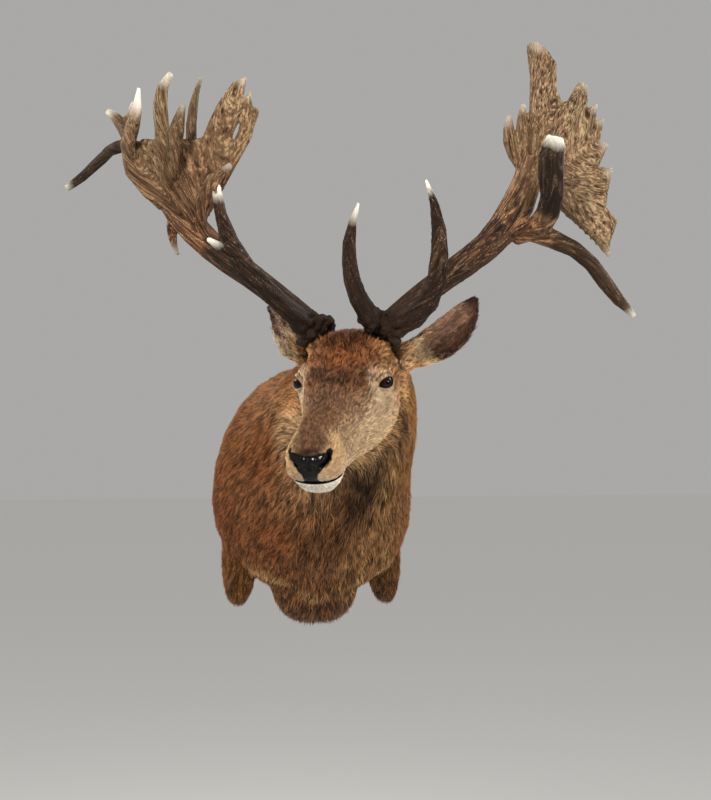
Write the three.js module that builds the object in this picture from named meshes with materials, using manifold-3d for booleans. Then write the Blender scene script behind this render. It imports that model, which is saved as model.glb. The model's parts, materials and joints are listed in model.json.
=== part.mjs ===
// A red deer stag's head and shoulders, mounted to hang on a wall, with palmated antlers.
// Millimetres. +Z is up and +Y runs into the wall, so the stag looks along -Y and its left side is +X.
// The origin is on the wall, in the middle of the back of the board that carries the mount.
// Flesh sizes reach to the tips of the coat.

import * as THREE from "three";
import { mergeVertices } from "three/addons/utils/BufferGeometryUtils.js";
import Module from "manifold-3d";

const wasm = await Module();
wasm.setup();

// Driving dimensions.
const GAP = 0.3; // clearance where two pieces meet
const BOARD_THICK = 18;
const BOARD_INSET = 16; // from the edge of the coat to the edge of the board
const EYE_SPAN = 158; // between the centres of the eyeballs
const EYE_RADIUS = 17.5;
const HEAD_AT = [14, -557, 203]; // midpoint between the eyes
const HEAD_TURN = -24.3; // degrees, to the stag's right
const HEAD_NOD = 33; // degrees, nose down
const BURR_SPAN = 116; // between the centres of the two burrs
const BURR_RADIUS = 39;
const EAR_LENGTH = 210;
const EAR_THICK = 6;

const DEG = Math.PI / 180;
const V = (x, y, z) => new THREE.Vector3(x, y, z);

// ---------------------------------------------------------------- solids

// A closed three.js geometry as a solid for joining and cutting.
function solid(geometry) {
  const bare = geometry.clone();
  bare.deleteAttribute("normal");
  bare.deleteAttribute("uv");
  const merged = mergeVertices(bare, 1e-3);
  const vertProperties = merged.attributes.position.array;
  const triVerts = new Uint32Array(merged.index.array);
  const made = new wasm.Manifold(new wasm.Mesh({ numProp: 3, vertProperties, triVerts }));
  if (made.volume() > 0) return made;
  for (let i = 0; i < triVerts.length; i += 3) {
    [triVerts[i + 1], triVerts[i + 2]] = [triVerts[i + 2], triVerts[i + 1]];
  }
  return new wasm.Manifold(new wasm.Mesh({ numProp: 3, vertProperties, triVerts }));
}

// The largest connected body of a solid, so that a cut leaves no crumbs.
function mainBody(made) {
  return made.decompose().sort((a, b) => b.volume() - a.volume())[0];
}

function geometryOf(made) {
  const mesh = mainBody(made).getMesh();
  const position = new THREE.BufferAttribute(new Float32Array(mesh.vertProperties), 3);
  return new THREE.BufferGeometry()
    .setAttribute("position", position)
    .setIndex(new THREE.BufferAttribute(new Uint32Array(mesh.triVerts), 1));
}

// Parts a solid in two along the faces of a box: what lies inside the box, and the rest.
function split(made, size, matrix) {
  const box = (margin) =>
    solid(new THREE.BoxGeometry(...size.map((side) => side + 2 * margin)).applyMatrix4(matrix));
  return [mainBody(made.intersect(box(0))), mainBody(made.subtract(box(GAP)))];
}

// ---------------------------------------------------------------- curves

// Reads the columns of a table at fraction t of its length, smoothly from row to row.
function between(rows, t) {
  const at = Math.min(Math.max(t, 0), 1) * (rows.length - 1);
  const i = Math.min(Math.floor(at), rows.length - 2);
  const f = at - i;
  const row = (k) => rows[Math.min(Math.max(k, 0), rows.length - 1)];
  return rows[0].map((_, c) => {
    const [before, a, b, after] = [row(i - 1)[c], row(i)[c], row(i + 1)[c], row(i + 2)[c]];
    const leave = ((b - before) / 2) * f * (1 - f) ** 2;
    const arrive = ((after - a) / 2) * f * f * (f - 1);
    const blend = f * f * (3 - 2 * f);
    return a * (1 - blend) + b * blend + leave + arrive;
  });
}

// A direction: degrees from straight out of the wall towards the stag's left, and degrees above level.
function direction(heading, rise) {
  const [h, r] = [heading * DEG, rise * DEG];
  return V(Math.sin(h) * Math.cos(r), -Math.cos(h) * Math.cos(r), Math.sin(r));
}

// The line of a limb that leaves a place and turns steadily through a course of directions.
function courseLine(from, course, length, steps = 24) {
  const ways = course.map(([heading, rise]) => direction(heading, rise));
  const points = [V(...from)];
  for (let i = 0; i < steps; i++) {
    const at = ((i + 0.5) / steps) * (ways.length - 1);
    const k = Math.min(Math.floor(at), ways.length - 2);
    const way = ways[k].clone().lerp(ways[k + 1], at - k).normalize();
    points.push(points[i].clone().addScaledVector(way, length / steps));
  }
  return new THREE.CatmullRomCurve3(points);
}

// A capped cylinder whose rings are carried to where place(fraction, angle, radius share) says.
function loft(around, along, place) {
  const geometry = new THREE.CylinderGeometry(1, 1, 1, around, along);
  const p = geometry.attributes.position;
  for (let i = 0; i < p.count; i++) {
    const angle = Math.atan2(p.getX(i), p.getZ(i));
    const point = place(p.getY(i) + 0.5, angle, Math.hypot(p.getX(i), p.getZ(i)));
    p.setXYZ(i, point.x, point.y, point.z);
  }
  return solid(geometry);
}

// An oval with a squareness of its own above and below its widest level.
function oval(angle, halfWidth, rise, drop, squareTop, squareFoot) {
  const [side, up] = [Math.sin(angle), Math.cos(angle)];
  const square = up > 0 ? squareTop : squareFoot;
  return [
    halfWidth * Math.sign(side) * Math.abs(side) ** (2 / square),
    (up > 0 ? rise : drop) * Math.sign(up) * Math.abs(up) ** (2 / square),
  ];
}

// ---------------------------------------------------------------- trunk and neck

// Rings from the board to the nape: centre x, y, z; heading and lean of the ring; half width, height
// above the centre, depth below it; squareness above and below.
const BODY_RINGS = [
  [0, -BOARD_THICK - GAP, -20, 0, 0, 192, 240, 150, 2.0, 2.0],
  [0, -75, -35, 0, 0, 207, 278, 180, 2.0, 2.1],
  [0, -150, -44, 0, 4, 212, 288, 185, 1.95, 2.2],
  [3, -225, -35, 2, 10, 202, 282, 205, 1.95, 2.1],
  [12, -290, 0, 6, 20, 183, 256, 190, 1.95, 2.0],
  [28, -345, 55, 11, 32, 161, 218, 155, 1.95, 1.9],
  [48, -385, 120, 14, 40, 147, 182, 122, 2.0, 1.9],
  [63, -420, 185, 13, 40, 123, 134, 102, 2.0, 2.0],
  [65, -450, 225, 8, 33, 100, 80, 100, 2.0, 2.0],
  [64, -480, 235, -5, 25, 74, 50, 70, 2.0, 2.0],
];

const torso = loft(24, 17, (t, angle, share) => {
  const [x, y, z, heading, lean, wide, rise, drop, top, foot] = between(BODY_RINGS, t);
  const [side, up] = oval(angle, wide, rise, drop, top, foot);
  return V(x, y, z)
    .addScaledVector(direction(heading + 90, 0), side * share)
    .addScaledVector(direction(heading, lean + 90), up * share);
});

// Upright forms below the trunk, ring by ring: height; distance from the middle; y; half width; half depth.
const LEG_RINGS = [
  [-90, 132, -150, 58, 82],
  [-150, 144, -150, 50, 74],
  [-205, 154, -152, 38, 60],
  [-244, 157, -155, 27, 48],
  [-262, 158, -157, 14, 32],
];
const BRISKET_RINGS = [
  [-80, 0, -230, 120, 150],
  [-160, 0, -215, 112, 138],
  [-205, 0, -205, 101, 122],
  [-240, 0, -205, 90, 100],
  [-272, 0, -212, 74, 72],
  [-294, 0, -218, 42, 36],
];

const upright = (side, rings, around, along) => loft(around, along, (t, angle, share) => {
  const [z, x, y, wide, deep] = between(rings, t);
  return V(side * (x + Math.sin(angle) * wide * share), y + Math.cos(angle) * deep * share, z);
});
const foreleg = (side) => upright(side, LEG_RINGS, 12, 6);
const brisket = upright(1, BRISKET_RINGS, 16, 6);

// ---------------------------------------------------------------- head

// The head's own frame: x to its left, y backwards, z up, with the midpoint of the eyes at its origin.
const headMatrix = new THREE.Matrix4()
  .makeRotationFromEuler(new THREE.Euler(HEAD_NOD * DEG, 0, HEAD_TURN * DEG, "ZXY"))
  .setPosition(...HEAD_AT);
const headPoint = (x, ahead, up) => V(x, -ahead, up).applyMatrix4(headMatrix);

// Rings from the nape to the nose: distance ahead of the eyes; level of the top line, of the greatest
// width and of the jaw; half width; squareness above and below.
const HEAD_RINGS = [
  [-148, 28, -35, -90, 62, 2.0, 2.0],
  [-118, 50, -30, -126, 78, 2.2, 2.2],
  [-84, 62, -30, -142, 86, 2.3, 2.5],
  [-48, 66, -30, -148, 89, 2.3, 2.7],
  [-14, 62, -30, -147, 91, 2.4, 2.7],
  [20, 54, -32, -143, 84, 2.4, 2.6],
  [54, 47, -36, -135, 73, 2.3, 2.4],
  [90, 42, -36, -124, 61, 2.3, 2.2],
  [126, 38, -32, -112, 53, 2.3, 2.1],
  [162, 35, -28, -101, 49, 2.4, 2.1],
  [194, 32, -26, -93, 50, 2.5, 2.3],
  [220, 28, -24, -90, 51, 2.5, 2.4],
  [240, 21, -24, -83, 48, 2.4, 2.4],
  [254, 9, -22, -56, 42, 2.2, 2.2],
  [261, -4, -18, -32, 24, 2.0, 2.0],
];

// Swellings and hollows on both sides: across, ahead, up; reach; height.
const HEAD_FORMS = [
  [88, 4, 27, 24, 6], // brow
  [72, 36, -10, 20, -5], // hollow before the eye
  [70, 30, 20, 26, -3], // side of the bridge
  [84, -20, -85, 42, 3], // cheek
  [36, 236, 6, 16, 5], // wing of the nostril
  [46, 222, -28, 22, 3], // upper lip
  [20, -62, 66, 44, 5], // crown between the antlers
];

const headSkin = (grow) => loft(24, 20, (t, angle, share) => {
  const [ahead, top, middle, jaw, wide, squareTop, squareFoot] = between(HEAD_RINGS, t);
  const [side, up] = oval(
    angle, wide + grow, top - middle + grow, middle - jaw + grow, squareTop, squareFoot,
  );
  let swell = 1;
  for (const [x, s, z, reach, height] of HEAD_FORMS) {
    const off = Math.hypot(Math.abs(side) - x, ahead - s, middle + up - z) / reach;
    swell += (height / Math.hypot(side, up)) * Math.exp(-off * off);
  }
  return headPoint(side * swell * share, ahead, middle + up * swell * share);
});

// The short furred stalks that carry the antlers.
function pedicle(side, grow) {
  const stalk = new THREE.CylinderGeometry(31 + grow, 38 + grow, 50, 12, 1);
  stalk.rotateX(Math.PI / 2).rotateY(side * 24 * DEG).rotateX(-0.35);
  return solid(stalk.translate(side * (BURR_SPAN / 2 - 9), 70, 32).applyMatrix4(headMatrix));
}

function eyeball(side, grow) {
  const ball = new THREE.SphereGeometry(EYE_RADIUS + grow, 12, 8);
  return solid(ball.translate((side * EYE_SPAN) / 2, 0, 0).applyMatrix4(headMatrix));
}

// ---------------------------------------------------------------- ears

// Share of the ear's length; half width; half the angle that its rim wraps round.
const EAR_RINGS = [
  [0.0, 16, 150],
  [0.2, 28, 118],
  [0.42, 35, 95],
  [0.62, 34, 80],
  [0.8, 27, 66],
  [0.93, 15, 52],
  [1.0, 4, 40],
];

// A leaf rolled into a cup that opens towards a heading, on a line from the root to the tip.
function ear(root, course, faces) {
  const line = courseLine(root, course, EAR_LENGTH, 12);
  const leaf = new THREE.BoxGeometry(1, 1, 1, 6, 8, 1);
  const p = leaf.attributes.position;
  for (let i = 0; i < p.count; i++) {
    const [share, wide, wrap] = between(EAR_RINGS, p.getY(i) + 0.5);
    const along = line.getTangentAt(share);
    const across = new THREE.Vector3().crossVectors(along, direction(...faces)).normalize();
    const face = new THREE.Vector3().crossVectors(across, along).normalize();
    const bend = 2 * p.getX(i) * wrap * DEG;
    const reach = wide / Math.max(Math.sin(Math.min(wrap, 90) * DEG), 0.5);
    const radius = reach + p.getZ(i) * EAR_THICK;
    const point = line.getPointAt(share)
      .addScaledVector(across, Math.sin(bend) * radius)
      .addScaledVector(face, reach * 0.5 - Math.cos(bend) * radius);
    p.setXYZ(i, point.x, point.y, point.z);
  }
  return solid(leaf);
}

// ---------------------------------------------------------------- antlers

// A limb of antler from a place along a course. Girth gives its half widths from root to tip; a flat
// limb is thinner the other way and shows its broad side to the heading it faces.
function limb({ from, course, length, girth, flat = 1, faces = 0, steps = 7, sides = 7 }, margin = 0) {
  const line = courseLine(from, course, length);
  const rows = girth.map((half) => [half]);
  return (start, end) => {
    const rings = Math.max(2, Math.round(steps * (end - start)));
    return loft(sides, rings, (share, angle, out) => {
      const t = start + (end - start) * share;
      const along = line.getTangentAt(t);
      const across = new THREE.Vector3().crossVectors(along, direction(faces, 0)).normalize();
      const face = new THREE.Vector3().crossVectors(across, along);
      const [half] = between(rows, t);
      return line.getPointAt(t)
        .addScaledVector(across, Math.sin(angle) * (half + margin) * out)
        .addScaledVector(face, Math.cos(angle) * (half * flat + margin) * out);
    });
  };
}

// A palm: a plate fanned out from a root in the upright plane of a heading. Each rib gives its angle
// from upright and the reach of the edge; the plate thins outwards and its sides curl forwards.
function palm({ from, heading, ribs, thick, cup, hub = 22 }, margin = 0) {
  const across = direction(heading, 0);
  const face = direction(heading - 90, 0);
  const plate = new THREE.BoxGeometry(1, 1, 1, ribs.length - 1, 3, 1);
  const p = plate.attributes.position;
  for (let i = 0; i < p.count; i++) {
    const [angle, reach] = ribs[Math.round((p.getX(i) + 0.5) * (ribs.length - 1))];
    const share = p.getY(i) + 0.5;
    const out = hub + (reach + margin - hub) * share;
    const half = thick[0] + (thick[1] - thick[0]) * Math.sqrt(share) + margin;
    const bow = cup * 4 * p.getX(i) ** 2 * share;
    const point = V(...from)
      .addScaledVector(across, Math.sin(angle * DEG) * out)
      .addScaledVector(V(0, 0, 1), Math.cos(angle * DEG) * out)
      .addScaledVector(face, bow + 2 * p.getZ(i) * half);
    p.setXYZ(i, point.x, point.y, point.z);
  }
  return solid(plate);
}

// The knobbly ring at the foot of a beam.
function burr(from, way, margin) {
  const line = courseLine(from, [way, way], 20, 2);
  return loft(15, 3, (t, angle, share) => {
    const along = direction(...way);
    const across = new THREE.Vector3().crossVectors(along, V(0, 1, 0)).normalize();
    const face = new THREE.Vector3().crossVectors(across, along);
    const knob = 1 + 0.06 * Math.sin(5 * angle) * Math.sin(3 * Math.PI * t);
    const half = BURR_RADIUS * (0.8 + 0.2 * Math.sin(Math.PI * t)) * knob + margin;
    return line.getPointAt(t)
      .addScaledVector(across, Math.sin(angle) * half * share)
      .addScaledVector(face, Math.cos(angle) * half * share);
  });
}

const LEFT_BEAM = {
  from: [85, -551, 292],
  course: [[124, 39], [111, 31], [65, 78]],
  length: 530,
  girth: [28, 25, 26, 30, 34, 26],
  steps: 10,
  sides: 9,
};

const LEFT_TINES = {
  brow: {
    from: [75, -561, 321],
    course: [[-44, 22], [-33, 69], [67, 66]],
    length: 255,
    girth: [21, 19, 16, 12, 3],
    cut: 0.12,
  },
  bez: {
    from: [98, -543, 311],
    course: [[46, 0], [10, 66], [-94, 67]],
    length: 354,
    girth: [24, 23, 20, 17, 12, 3],
    cut: 0.19,
  },
  trez: {
    from: [366, -424, 530],
    course: [[97, -60], [39, 49], [-32, 58], [37, 64]],
    length: 270,
    girth: [27, 27, 24, 24, 27, 19],
    cut: 0.42,
    sides: 8,
  },
  drop: {
    from: [366, -424, 530],
    course: [[80, -25], [72, -22], [72, -58], [79, -43]],
    length: 325,
    girth: [24, 22, 17, 15, 13, 6],
    cut: 0.3,
  },
};

const LEFT_TIPS = [
  { from: [391, -418, 641], course: [[-79, 53], [17, 71]], length: 105, girth: [12, 15, 14, 5] },
  { from: [401, -420, 641], course: [[-69, 82], [-2, 78]], length: 122, girth: [12, 17, 15, 5] },
];

const LEFT_PALM = {
  from: [445, -431, 581],
  heading: 104,
  thick: [15, 5],
  cup: 0,
  ribs: [
    [-24, 90], [-14, 170], [-9.5, 240], [-9, 300], [-5.5, 307], [-1, 294], [3.9, 264],
    [4.9, 212], [9.5, 190], [13.4, 196], [17, 244], [21.5, 243], [26.4, 199],
    [30.6, 223], [34.9, 188], [38.2, 209], [46, 164], [51.4, 180], [61.5, 130], [67.5, 163],
    [83, 138], [98, 132], [106, 165], [122, 168], [131, 188], [128, 130],
  ],
};

const RIGHT_BEAM = {
  from: [-22, -502, 292],
  course: [[-139, 39], [-121, 32], [-96, 64]],
  length: 505,
  girth: [28, 25, 26, 29, 32, 24],
  steps: 10,
  sides: 9,
};

const RIGHT_TINES = {
  brow: {
    from: [-35, -487, 308],
    course: [[-36, 16], [-65, 40], [8, 75]],
    length: 380,
    girth: [22, 20, 20, 21, 15, 3],
    cut: 0.12,
  },
  crown_a: {
    from: [-315, -314, 562],
    course: [[-116, 39], [-73, 54], [34, 53], [57, 89]],
    length: 265,
    girth: [16, 17, 17, 16, 12, 4],
    cut: 0.42,
  },
  crown_b: {
    from: [-324, -310, 612],
    course: [[119, 81], [-14, 83], [-27, 77], [66, 43]],
    length: 220,
    girth: [16, 17, 16, 16, 14, 7],
    cut: 0.36,
  },
  crown_c: {
    from: [-307, -313, 581],
    course: [[-1, 49], [53, 70]],
    length: 195,
    girth: [14, 16, 16, 16, 6],
    cut: 0.4,
  },
  crown_d: {
    from: [-269, -326, 591],
    course: [[150, 74], [-8, 83], [57, 66]],
    length: 230,
    girth: [14, 12, 11, 9, 4],
    cut: 0.45,
  },
  drop: {
    from: [-331, -309, 626],
    course: [[-43, 55], [-144, 12], [-126, -40], [-83, -35]],
    length: 278,
    girth: [16, 16, 15, 14, 13, 8],
    cut: 0.25,
    sides: 6,
  },
  back: {
    from: [-331, -309, 626],
    course: [[-114, 23], [-160, 60], [-132, 29]],
    length: 205,
    girth: [16, 15, 14, 14, 8],
    cut: 0.3,
    sides: 6,
  },
};

const RIGHT_STUBS = {
  brow: [
    { from: [-187, -605, 431], course: [[-42, 17], [-53, 23]], length: 85, girth: [14, 12, 5] },
    {
      from: [-191, -613, 436],
      course: [[-44, 47], [-103, 79]],
      length: 130,
      girth: [8, 11, 9, 3],
      flat: 0.6,
    },
  ],
  crown: [
    {
      from: [-229, -344, 481],
      course: [[-53, 55], [10, 50], [114, 20]],
      length: 200,
      girth: [12, 13, 11, 8],
    },
    { from: [-301, -311, 528], course: [[-166, -76], [72, -64]], length: 68, girth: [12, 9, 5] },
  ],
  back: [
    { from: [-395, -236, 725], course: [[111, 70], [129, 71]], length: 62, girth: [11, 9, 5] },
  ],
};

const RIGHT_PALM = {
  from: [-250, -344, 499],
  heading: 75,
  thick: [15, 5],
  cup: 10,
  ribs: [
    [-41, 68], [-49, 110], [-55, 125], [-52, 158], [-50, 190], [-46, 214], [-36, 222], [-30, 225],
    [-26, 216], [-20, 206], [-14, 197], [-7, 194], [-0.7, 192], [3.1, 196], [6, 228], [9, 262],
    [13.4, 312], [17.6, 331], [18.8, 277], [20.6, 308], [23.5, 277], [27, 276], [28.4, 237],
    [29.8, 218], [29.5, 194], [29.6, 171], [25.5, 147],
  ],
};

// The slit between the last two fingers of the right palm.
const SLIT = new THREE.SphereGeometry(1, 8, 6)
  .scale(5, 40, 23)
  .rotateY(20 * DEG)
  .translate(-175, -364, 705);

// ---------------------------------------------------------------- assembly

const model = new THREE.Group();
model.name = "stag_head_mount";

const COAT = { color: 0x7a4f2a, roughness: 0.9, metalness: 0 };
const ANTLER = { color: 0x6b4a30, roughness: 0.6, metalness: 0 };
const EYE = { color: 0x120a06, roughness: 0.1, metalness: 0 };
const WOOD = { color: 0x4a2f1b, roughness: 0.7, metalness: 0 };

function add(name, made, look) {
  const mesh = new THREE.Mesh(geometryOf(made), new THREE.MeshStandardMaterial(look));
  mesh.geometry.computeVertexNormals();
  mesh.name = name;
  model.add(mesh);
}

let head = headSkin(0).add(pedicle(1, 0)).add(pedicle(-1, 0));
let flesh = torso.add(brisket).add(head).add(foreleg(1)).add(foreleg(-1));
flesh = flesh.subtract(eyeball(1, GAP)).subtract(eyeball(-1, GAP));

// A box ahead of the edge that runs across at (y, z) of its lower back corner, leaning back by a tilt.
function ahead(y, z, tilt, size) {
  return new THREE.Matrix4()
    .makeTranslation(0, y, z)
    .multiply(new THREE.Matrix4().makeRotationX(-tilt * DEG))
    .multiply(new THREE.Matrix4().makeTranslation(0, -size[1] / 2, size[2] / 2));
}

const HEAD_BOX = [214, 400, 300];
const NECK_BOX = [600, 500, 600];
const LEG_BOX = [160, 220, 160];
let rest;
[head, rest] = split(flesh, HEAD_BOX, ahead(56, -165, 15, HEAD_BOX).premultiply(headMatrix));
let [neck, trunk] = split(rest, NECK_BOX, ahead(-338, -215, 16, NECK_BOX));
const legs = {};
for (const [name, side] of [["left", 1], ["right", -1]]) {
  const under = new THREE.Matrix4().makeTranslation(side * 200, -150, -270);
  [legs[name], trunk] = split(trunk, LEG_BOX, under);
}

// The board behind the trunk, smaller all round, with its flat back on the wall.
const board = loft(24, 1, (t, angle, share) => {
  const [x, , z, , , wide, rise, drop, top, foot] = BODY_RINGS[0];
  const edge = BOARD_INSET;
  const [side, up] = oval(angle, wide - edge, rise - edge, drop - edge, top, foot);
  return V(x + side * share, -BOARD_THICK * t, z + up * share);
});
add("backboard", board, WOOD);
add("trunk", trunk, COAT);
add("neck", neck, COAT);
add("head", head, COAT);
add("leg_left", legs.left, COAT);
add("leg_right", legs.right, COAT);
add("eye_left", eyeball(1, 0), EYE);
add("eye_right", eyeball(-1, 0), EYE);

const fleshClear = headSkin(GAP).add(torso).add(pedicle(1, GAP)).add(pedicle(-1, GAP));
const earLeft = ear(headPoint(90, -94, -8).toArray(), [[101, 21], [105, 33], [115, 62]], [12, 0]);
const earRight = ear(headPoint(-92, -102, 4).toArray(), [[-150, 27], [-166, 27]], [-90, -5]);
add("ear_left", earLeft.subtract(fleshClear), COAT);
add("ear_right", earRight.subtract(fleshClear), COAT);

// One antler: the beam with its burr up to the crown, the crown, and each tine beyond its own fork.
function antler(side, beam, palmPlate, tips, tines, stubs, crownCut) {
  const shape = (parts, margin) => parts
    .map(([part, start, end]) => (part.ribs ? palm(part, margin) : limb(part, margin)(start, end)))
    .reduce((whole, part) => whole.add(part));
  const short = (list = []) => list.map((part) => [{ steps: 4, sides: 6, ...part }, 0, 1]);
  const pieces = {
    beam: [[beam, 0, crownCut]],
    crown: [[beam, crownCut + GAP / beam.length, 1], [palmPlate], ...short(tips), ...short(stubs.crown)],
  };
  for (const [name, tine] of Object.entries(tines)) {
    pieces[tine.from[2] > 450 ? "crown" : "beam"].push([tine, 0, tine.cut]);
    pieces[name] = [[tine, tine.cut + GAP / tine.length, 1], ...short(stubs[name])];
  }
  let taken = fleshClear;
  for (const [name, parts] of Object.entries(pieces)) {
    const rim = (margin) => (name === "beam" ? burr(beam.from, beam.course[0], margin) : null);
    const made = (margin) => (rim(margin) ? shape(parts, margin).add(rim(margin)) : shape(parts, margin));
    add(`antler_${side}_${name}`, made(0).subtract(taken).subtract(solid(SLIT)), ANTLER);
    taken = taken.add(made(GAP));
  }
}

antler("left", LEFT_BEAM, LEFT_PALM, LEFT_TIPS, LEFT_TINES, {}, 0.7);
antler("right", RIGHT_BEAM, RIGHT_PALM, [], RIGHT_TINES, RIGHT_STUBS, 0.62);

export default model;
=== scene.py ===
# %% [markdown]
# # A red deer stag's head, mounted for a wall
#
# The real thing is a tanned hide drawn over a light form, with glass eyes set in clay and the stag's
# own antlers bolted to the skull plate. The solids of the frame hold its true size and outline, out
# to the tips of the coat. This lesson dresses them: one skin under the coat, lids and nostrils cut
# in that skin, eyes, two bone antlers, and a coat of nearly a quarter of a million tufts of hair.

# %% The frame
import contextlib
import heapq
import json
import math

import bmesh
import bpy
import numpy as np
from mathutils import Matrix, Vector
from mathutils.kdtree import KDTree

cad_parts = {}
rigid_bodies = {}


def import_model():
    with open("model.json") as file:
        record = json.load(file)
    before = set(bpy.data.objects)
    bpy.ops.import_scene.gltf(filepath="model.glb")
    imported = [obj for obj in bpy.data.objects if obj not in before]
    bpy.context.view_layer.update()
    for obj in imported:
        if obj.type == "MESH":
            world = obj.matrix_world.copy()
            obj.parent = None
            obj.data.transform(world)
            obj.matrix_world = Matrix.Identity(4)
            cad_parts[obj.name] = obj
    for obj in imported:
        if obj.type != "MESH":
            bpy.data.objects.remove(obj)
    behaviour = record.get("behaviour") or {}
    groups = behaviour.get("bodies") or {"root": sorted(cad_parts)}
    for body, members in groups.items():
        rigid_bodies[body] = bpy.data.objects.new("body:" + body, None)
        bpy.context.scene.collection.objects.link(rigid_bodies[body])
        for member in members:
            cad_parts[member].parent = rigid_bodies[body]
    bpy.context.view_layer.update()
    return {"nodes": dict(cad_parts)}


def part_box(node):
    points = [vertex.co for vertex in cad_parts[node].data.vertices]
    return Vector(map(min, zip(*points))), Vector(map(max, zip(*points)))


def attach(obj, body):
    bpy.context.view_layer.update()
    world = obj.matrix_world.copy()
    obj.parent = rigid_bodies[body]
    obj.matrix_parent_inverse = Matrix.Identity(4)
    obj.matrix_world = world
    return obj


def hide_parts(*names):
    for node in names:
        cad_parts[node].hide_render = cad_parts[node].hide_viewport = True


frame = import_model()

nodes = frame["nodes"]
MM = 0.001

# %% [markdown]
# ## Where the camera stands
#
# A mounted head is looked at from a few metres away and a little from its right, with a long lens, so
# that the muzzle isn't drawn large. A camera could be aimed with a Track To constraint, but a level
# one only needs a place and a heading, and keeps the upright lines upright.

# %% Camera
CAMERA_AT = (-0.38018, -3.53146, 0.170)
CAMERA_TURN = -8.0
CAMERA_LENS = 71.55

camera = bpy.data.objects.new("camera", bpy.data.cameras.new("camera"))
camera.data.lens = CAMERA_LENS
camera.data.sensor_width = 36
camera.data.sensor_fit = "AUTO"
camera.location = CAMERA_AT
camera.rotation_euler = (math.radians(90), 0, math.radians(CAMERA_TURN))
bpy.context.collection.objects.link(camera)
bpy.context.scene.camera = camera
print("camera:", CAMERA_AT, "lens", CAMERA_LENS)

# %% [markdown]
# ## Floor and light
#
# The mount hangs, so its floor is only a pale ground far below it. A dark coat needs big soft lights:
# a key high on the left of the camera draws the relief of the hair, a broad fill keeps the shadows
# open, and two lamps from behind pick out the edge of the coat and the antlers.

# %% Floor
FLOOR_Z = -1.9
FLOOR_HALF = 30


def piece_of(name, bm):
    """A new object from a bmesh, which is used up."""
    piece = bpy.data.objects.new(name, bpy.data.meshes.new(name))
    bm.to_mesh(piece.data)
    bm.free()
    bpy.context.collection.objects.link(piece)
    return piece


bm = bmesh.new()
bmesh.ops.create_grid(bm, x_segments=1, y_segments=1, size=FLOOR_HALF)
bmesh.ops.translate(bm, verts=bm.verts, vec=(0, 0, FLOOR_Z))
floor = piece_of("floor", bm)
pale = bpy.data.materials.new("pale floor")
pale.use_nodes = True
pale_surface = pale.node_tree.nodes["Principled BSDF"]
pale_surface.inputs["Base Color"].default_value = (0.96, 0.95, 0.93, 1)
pale_surface.inputs["Roughness"].default_value = 1.0
floor.data.materials.append(pale)
print("floor at", FLOOR_Z, "m")

# %% Lights
MIDDLE = Vector((0.0, -0.42, 0.28))


def lamp(name, place, size, power, tint=(1, 1, 1)):
    """A square soft light that looks at the middle of the mount."""
    light = bpy.data.lights.new(name, "AREA")
    light.shape = "SQUARE"
    light.size = size
    light.energy = power
    light.color = tint
    holder = bpy.data.objects.new(name, light)
    holder.location = place
    holder.rotation_euler = (MIDDLE - Vector(place)).to_track_quat("-Z", "Y").to_euler()
    bpy.context.collection.objects.link(holder)


lamp("key", (-1.5, -3.0, 2.4), 0.5, 150, (1.0, 0.96, 0.9))
lamp("fill", (2.5, -2.6, 0.9), 0.9, 80, (1.0, 0.98, 0.95))
lamp("edge left", (-2.2, 0.7, 1.4), 0.9, 50)
lamp("edge right", (2.2, 0.7, 1.6), 0.9, 60)

world = bpy.data.worlds.new("studio")
world.use_nodes = True
background = world.node_tree.nodes["Background"]
background.inputs["Color"].default_value = (0.80, 0.79, 0.77, 1)
background.inputs["Strength"].default_value = 0.50
bpy.context.scene.world = world
bpy.context.scene.view_settings.view_transform = "Standard"
print("lamps:", [light.name for light in bpy.data.lights])

# %% [markdown]
# ## Reading and moving many points at once
#
# A skin of a hundred thousand points is slow to sculpt one vertex at a time. NumPy takes all of
# them as one array, so a whole form, such as a brow or the lie of the hair, is one line of sums.

# %% Reading and moving points


def points_of(mesh, what="co"):
    """The places or the normals of a mesh's vertices, as an array."""
    values = np.empty(len(mesh.vertices) * 3, np.float32)
    source = mesh.vertices if what == "co" else mesh.vertex_normals
    source.foreach_get("co" if what == "co" else "vector", values)
    return values.reshape(-1, 3).astype(float)


def move_points(mesh, places):
    """Puts a mesh's vertices where the array says."""
    mesh.vertices.foreach_set("co", np.asarray(places, np.float32).ravel())
    mesh.update()


def edges_of(mesh):
    """The two vertices of every edge."""
    ends = np.empty(len(mesh.edges) * 2, np.int32)
    mesh.edges.foreach_get("vertices", ends)
    return ends.reshape(-1, 2)


print("corners of the floor:", points_of(floor.data).round(1).tolist())

# %% Steps, bells and ripples


def unit(vectors):
    """Vectors of length 1."""
    return vectors / np.maximum(np.linalg.norm(vectors, axis=-1, keepdims=True), 1e-12)


def rise(values, low, high):
    """0 up to low, 1 from high, and a smooth step between."""
    share = np.clip((values - low) / (high - low), 0, 1)
    return share * share * (3 - 2 * share)


def bell(values, middle, reach):
    """1 at the middle and a soft fall to 0 on both sides."""
    return np.exp(-(((values - middle) / reach) ** 2))


def mirrored(places):
    """Places of the head's frame brought to its left side."""
    return np.column_stack((np.abs(places[:, 0]), places[:, 1], places[:, 2]))


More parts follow.
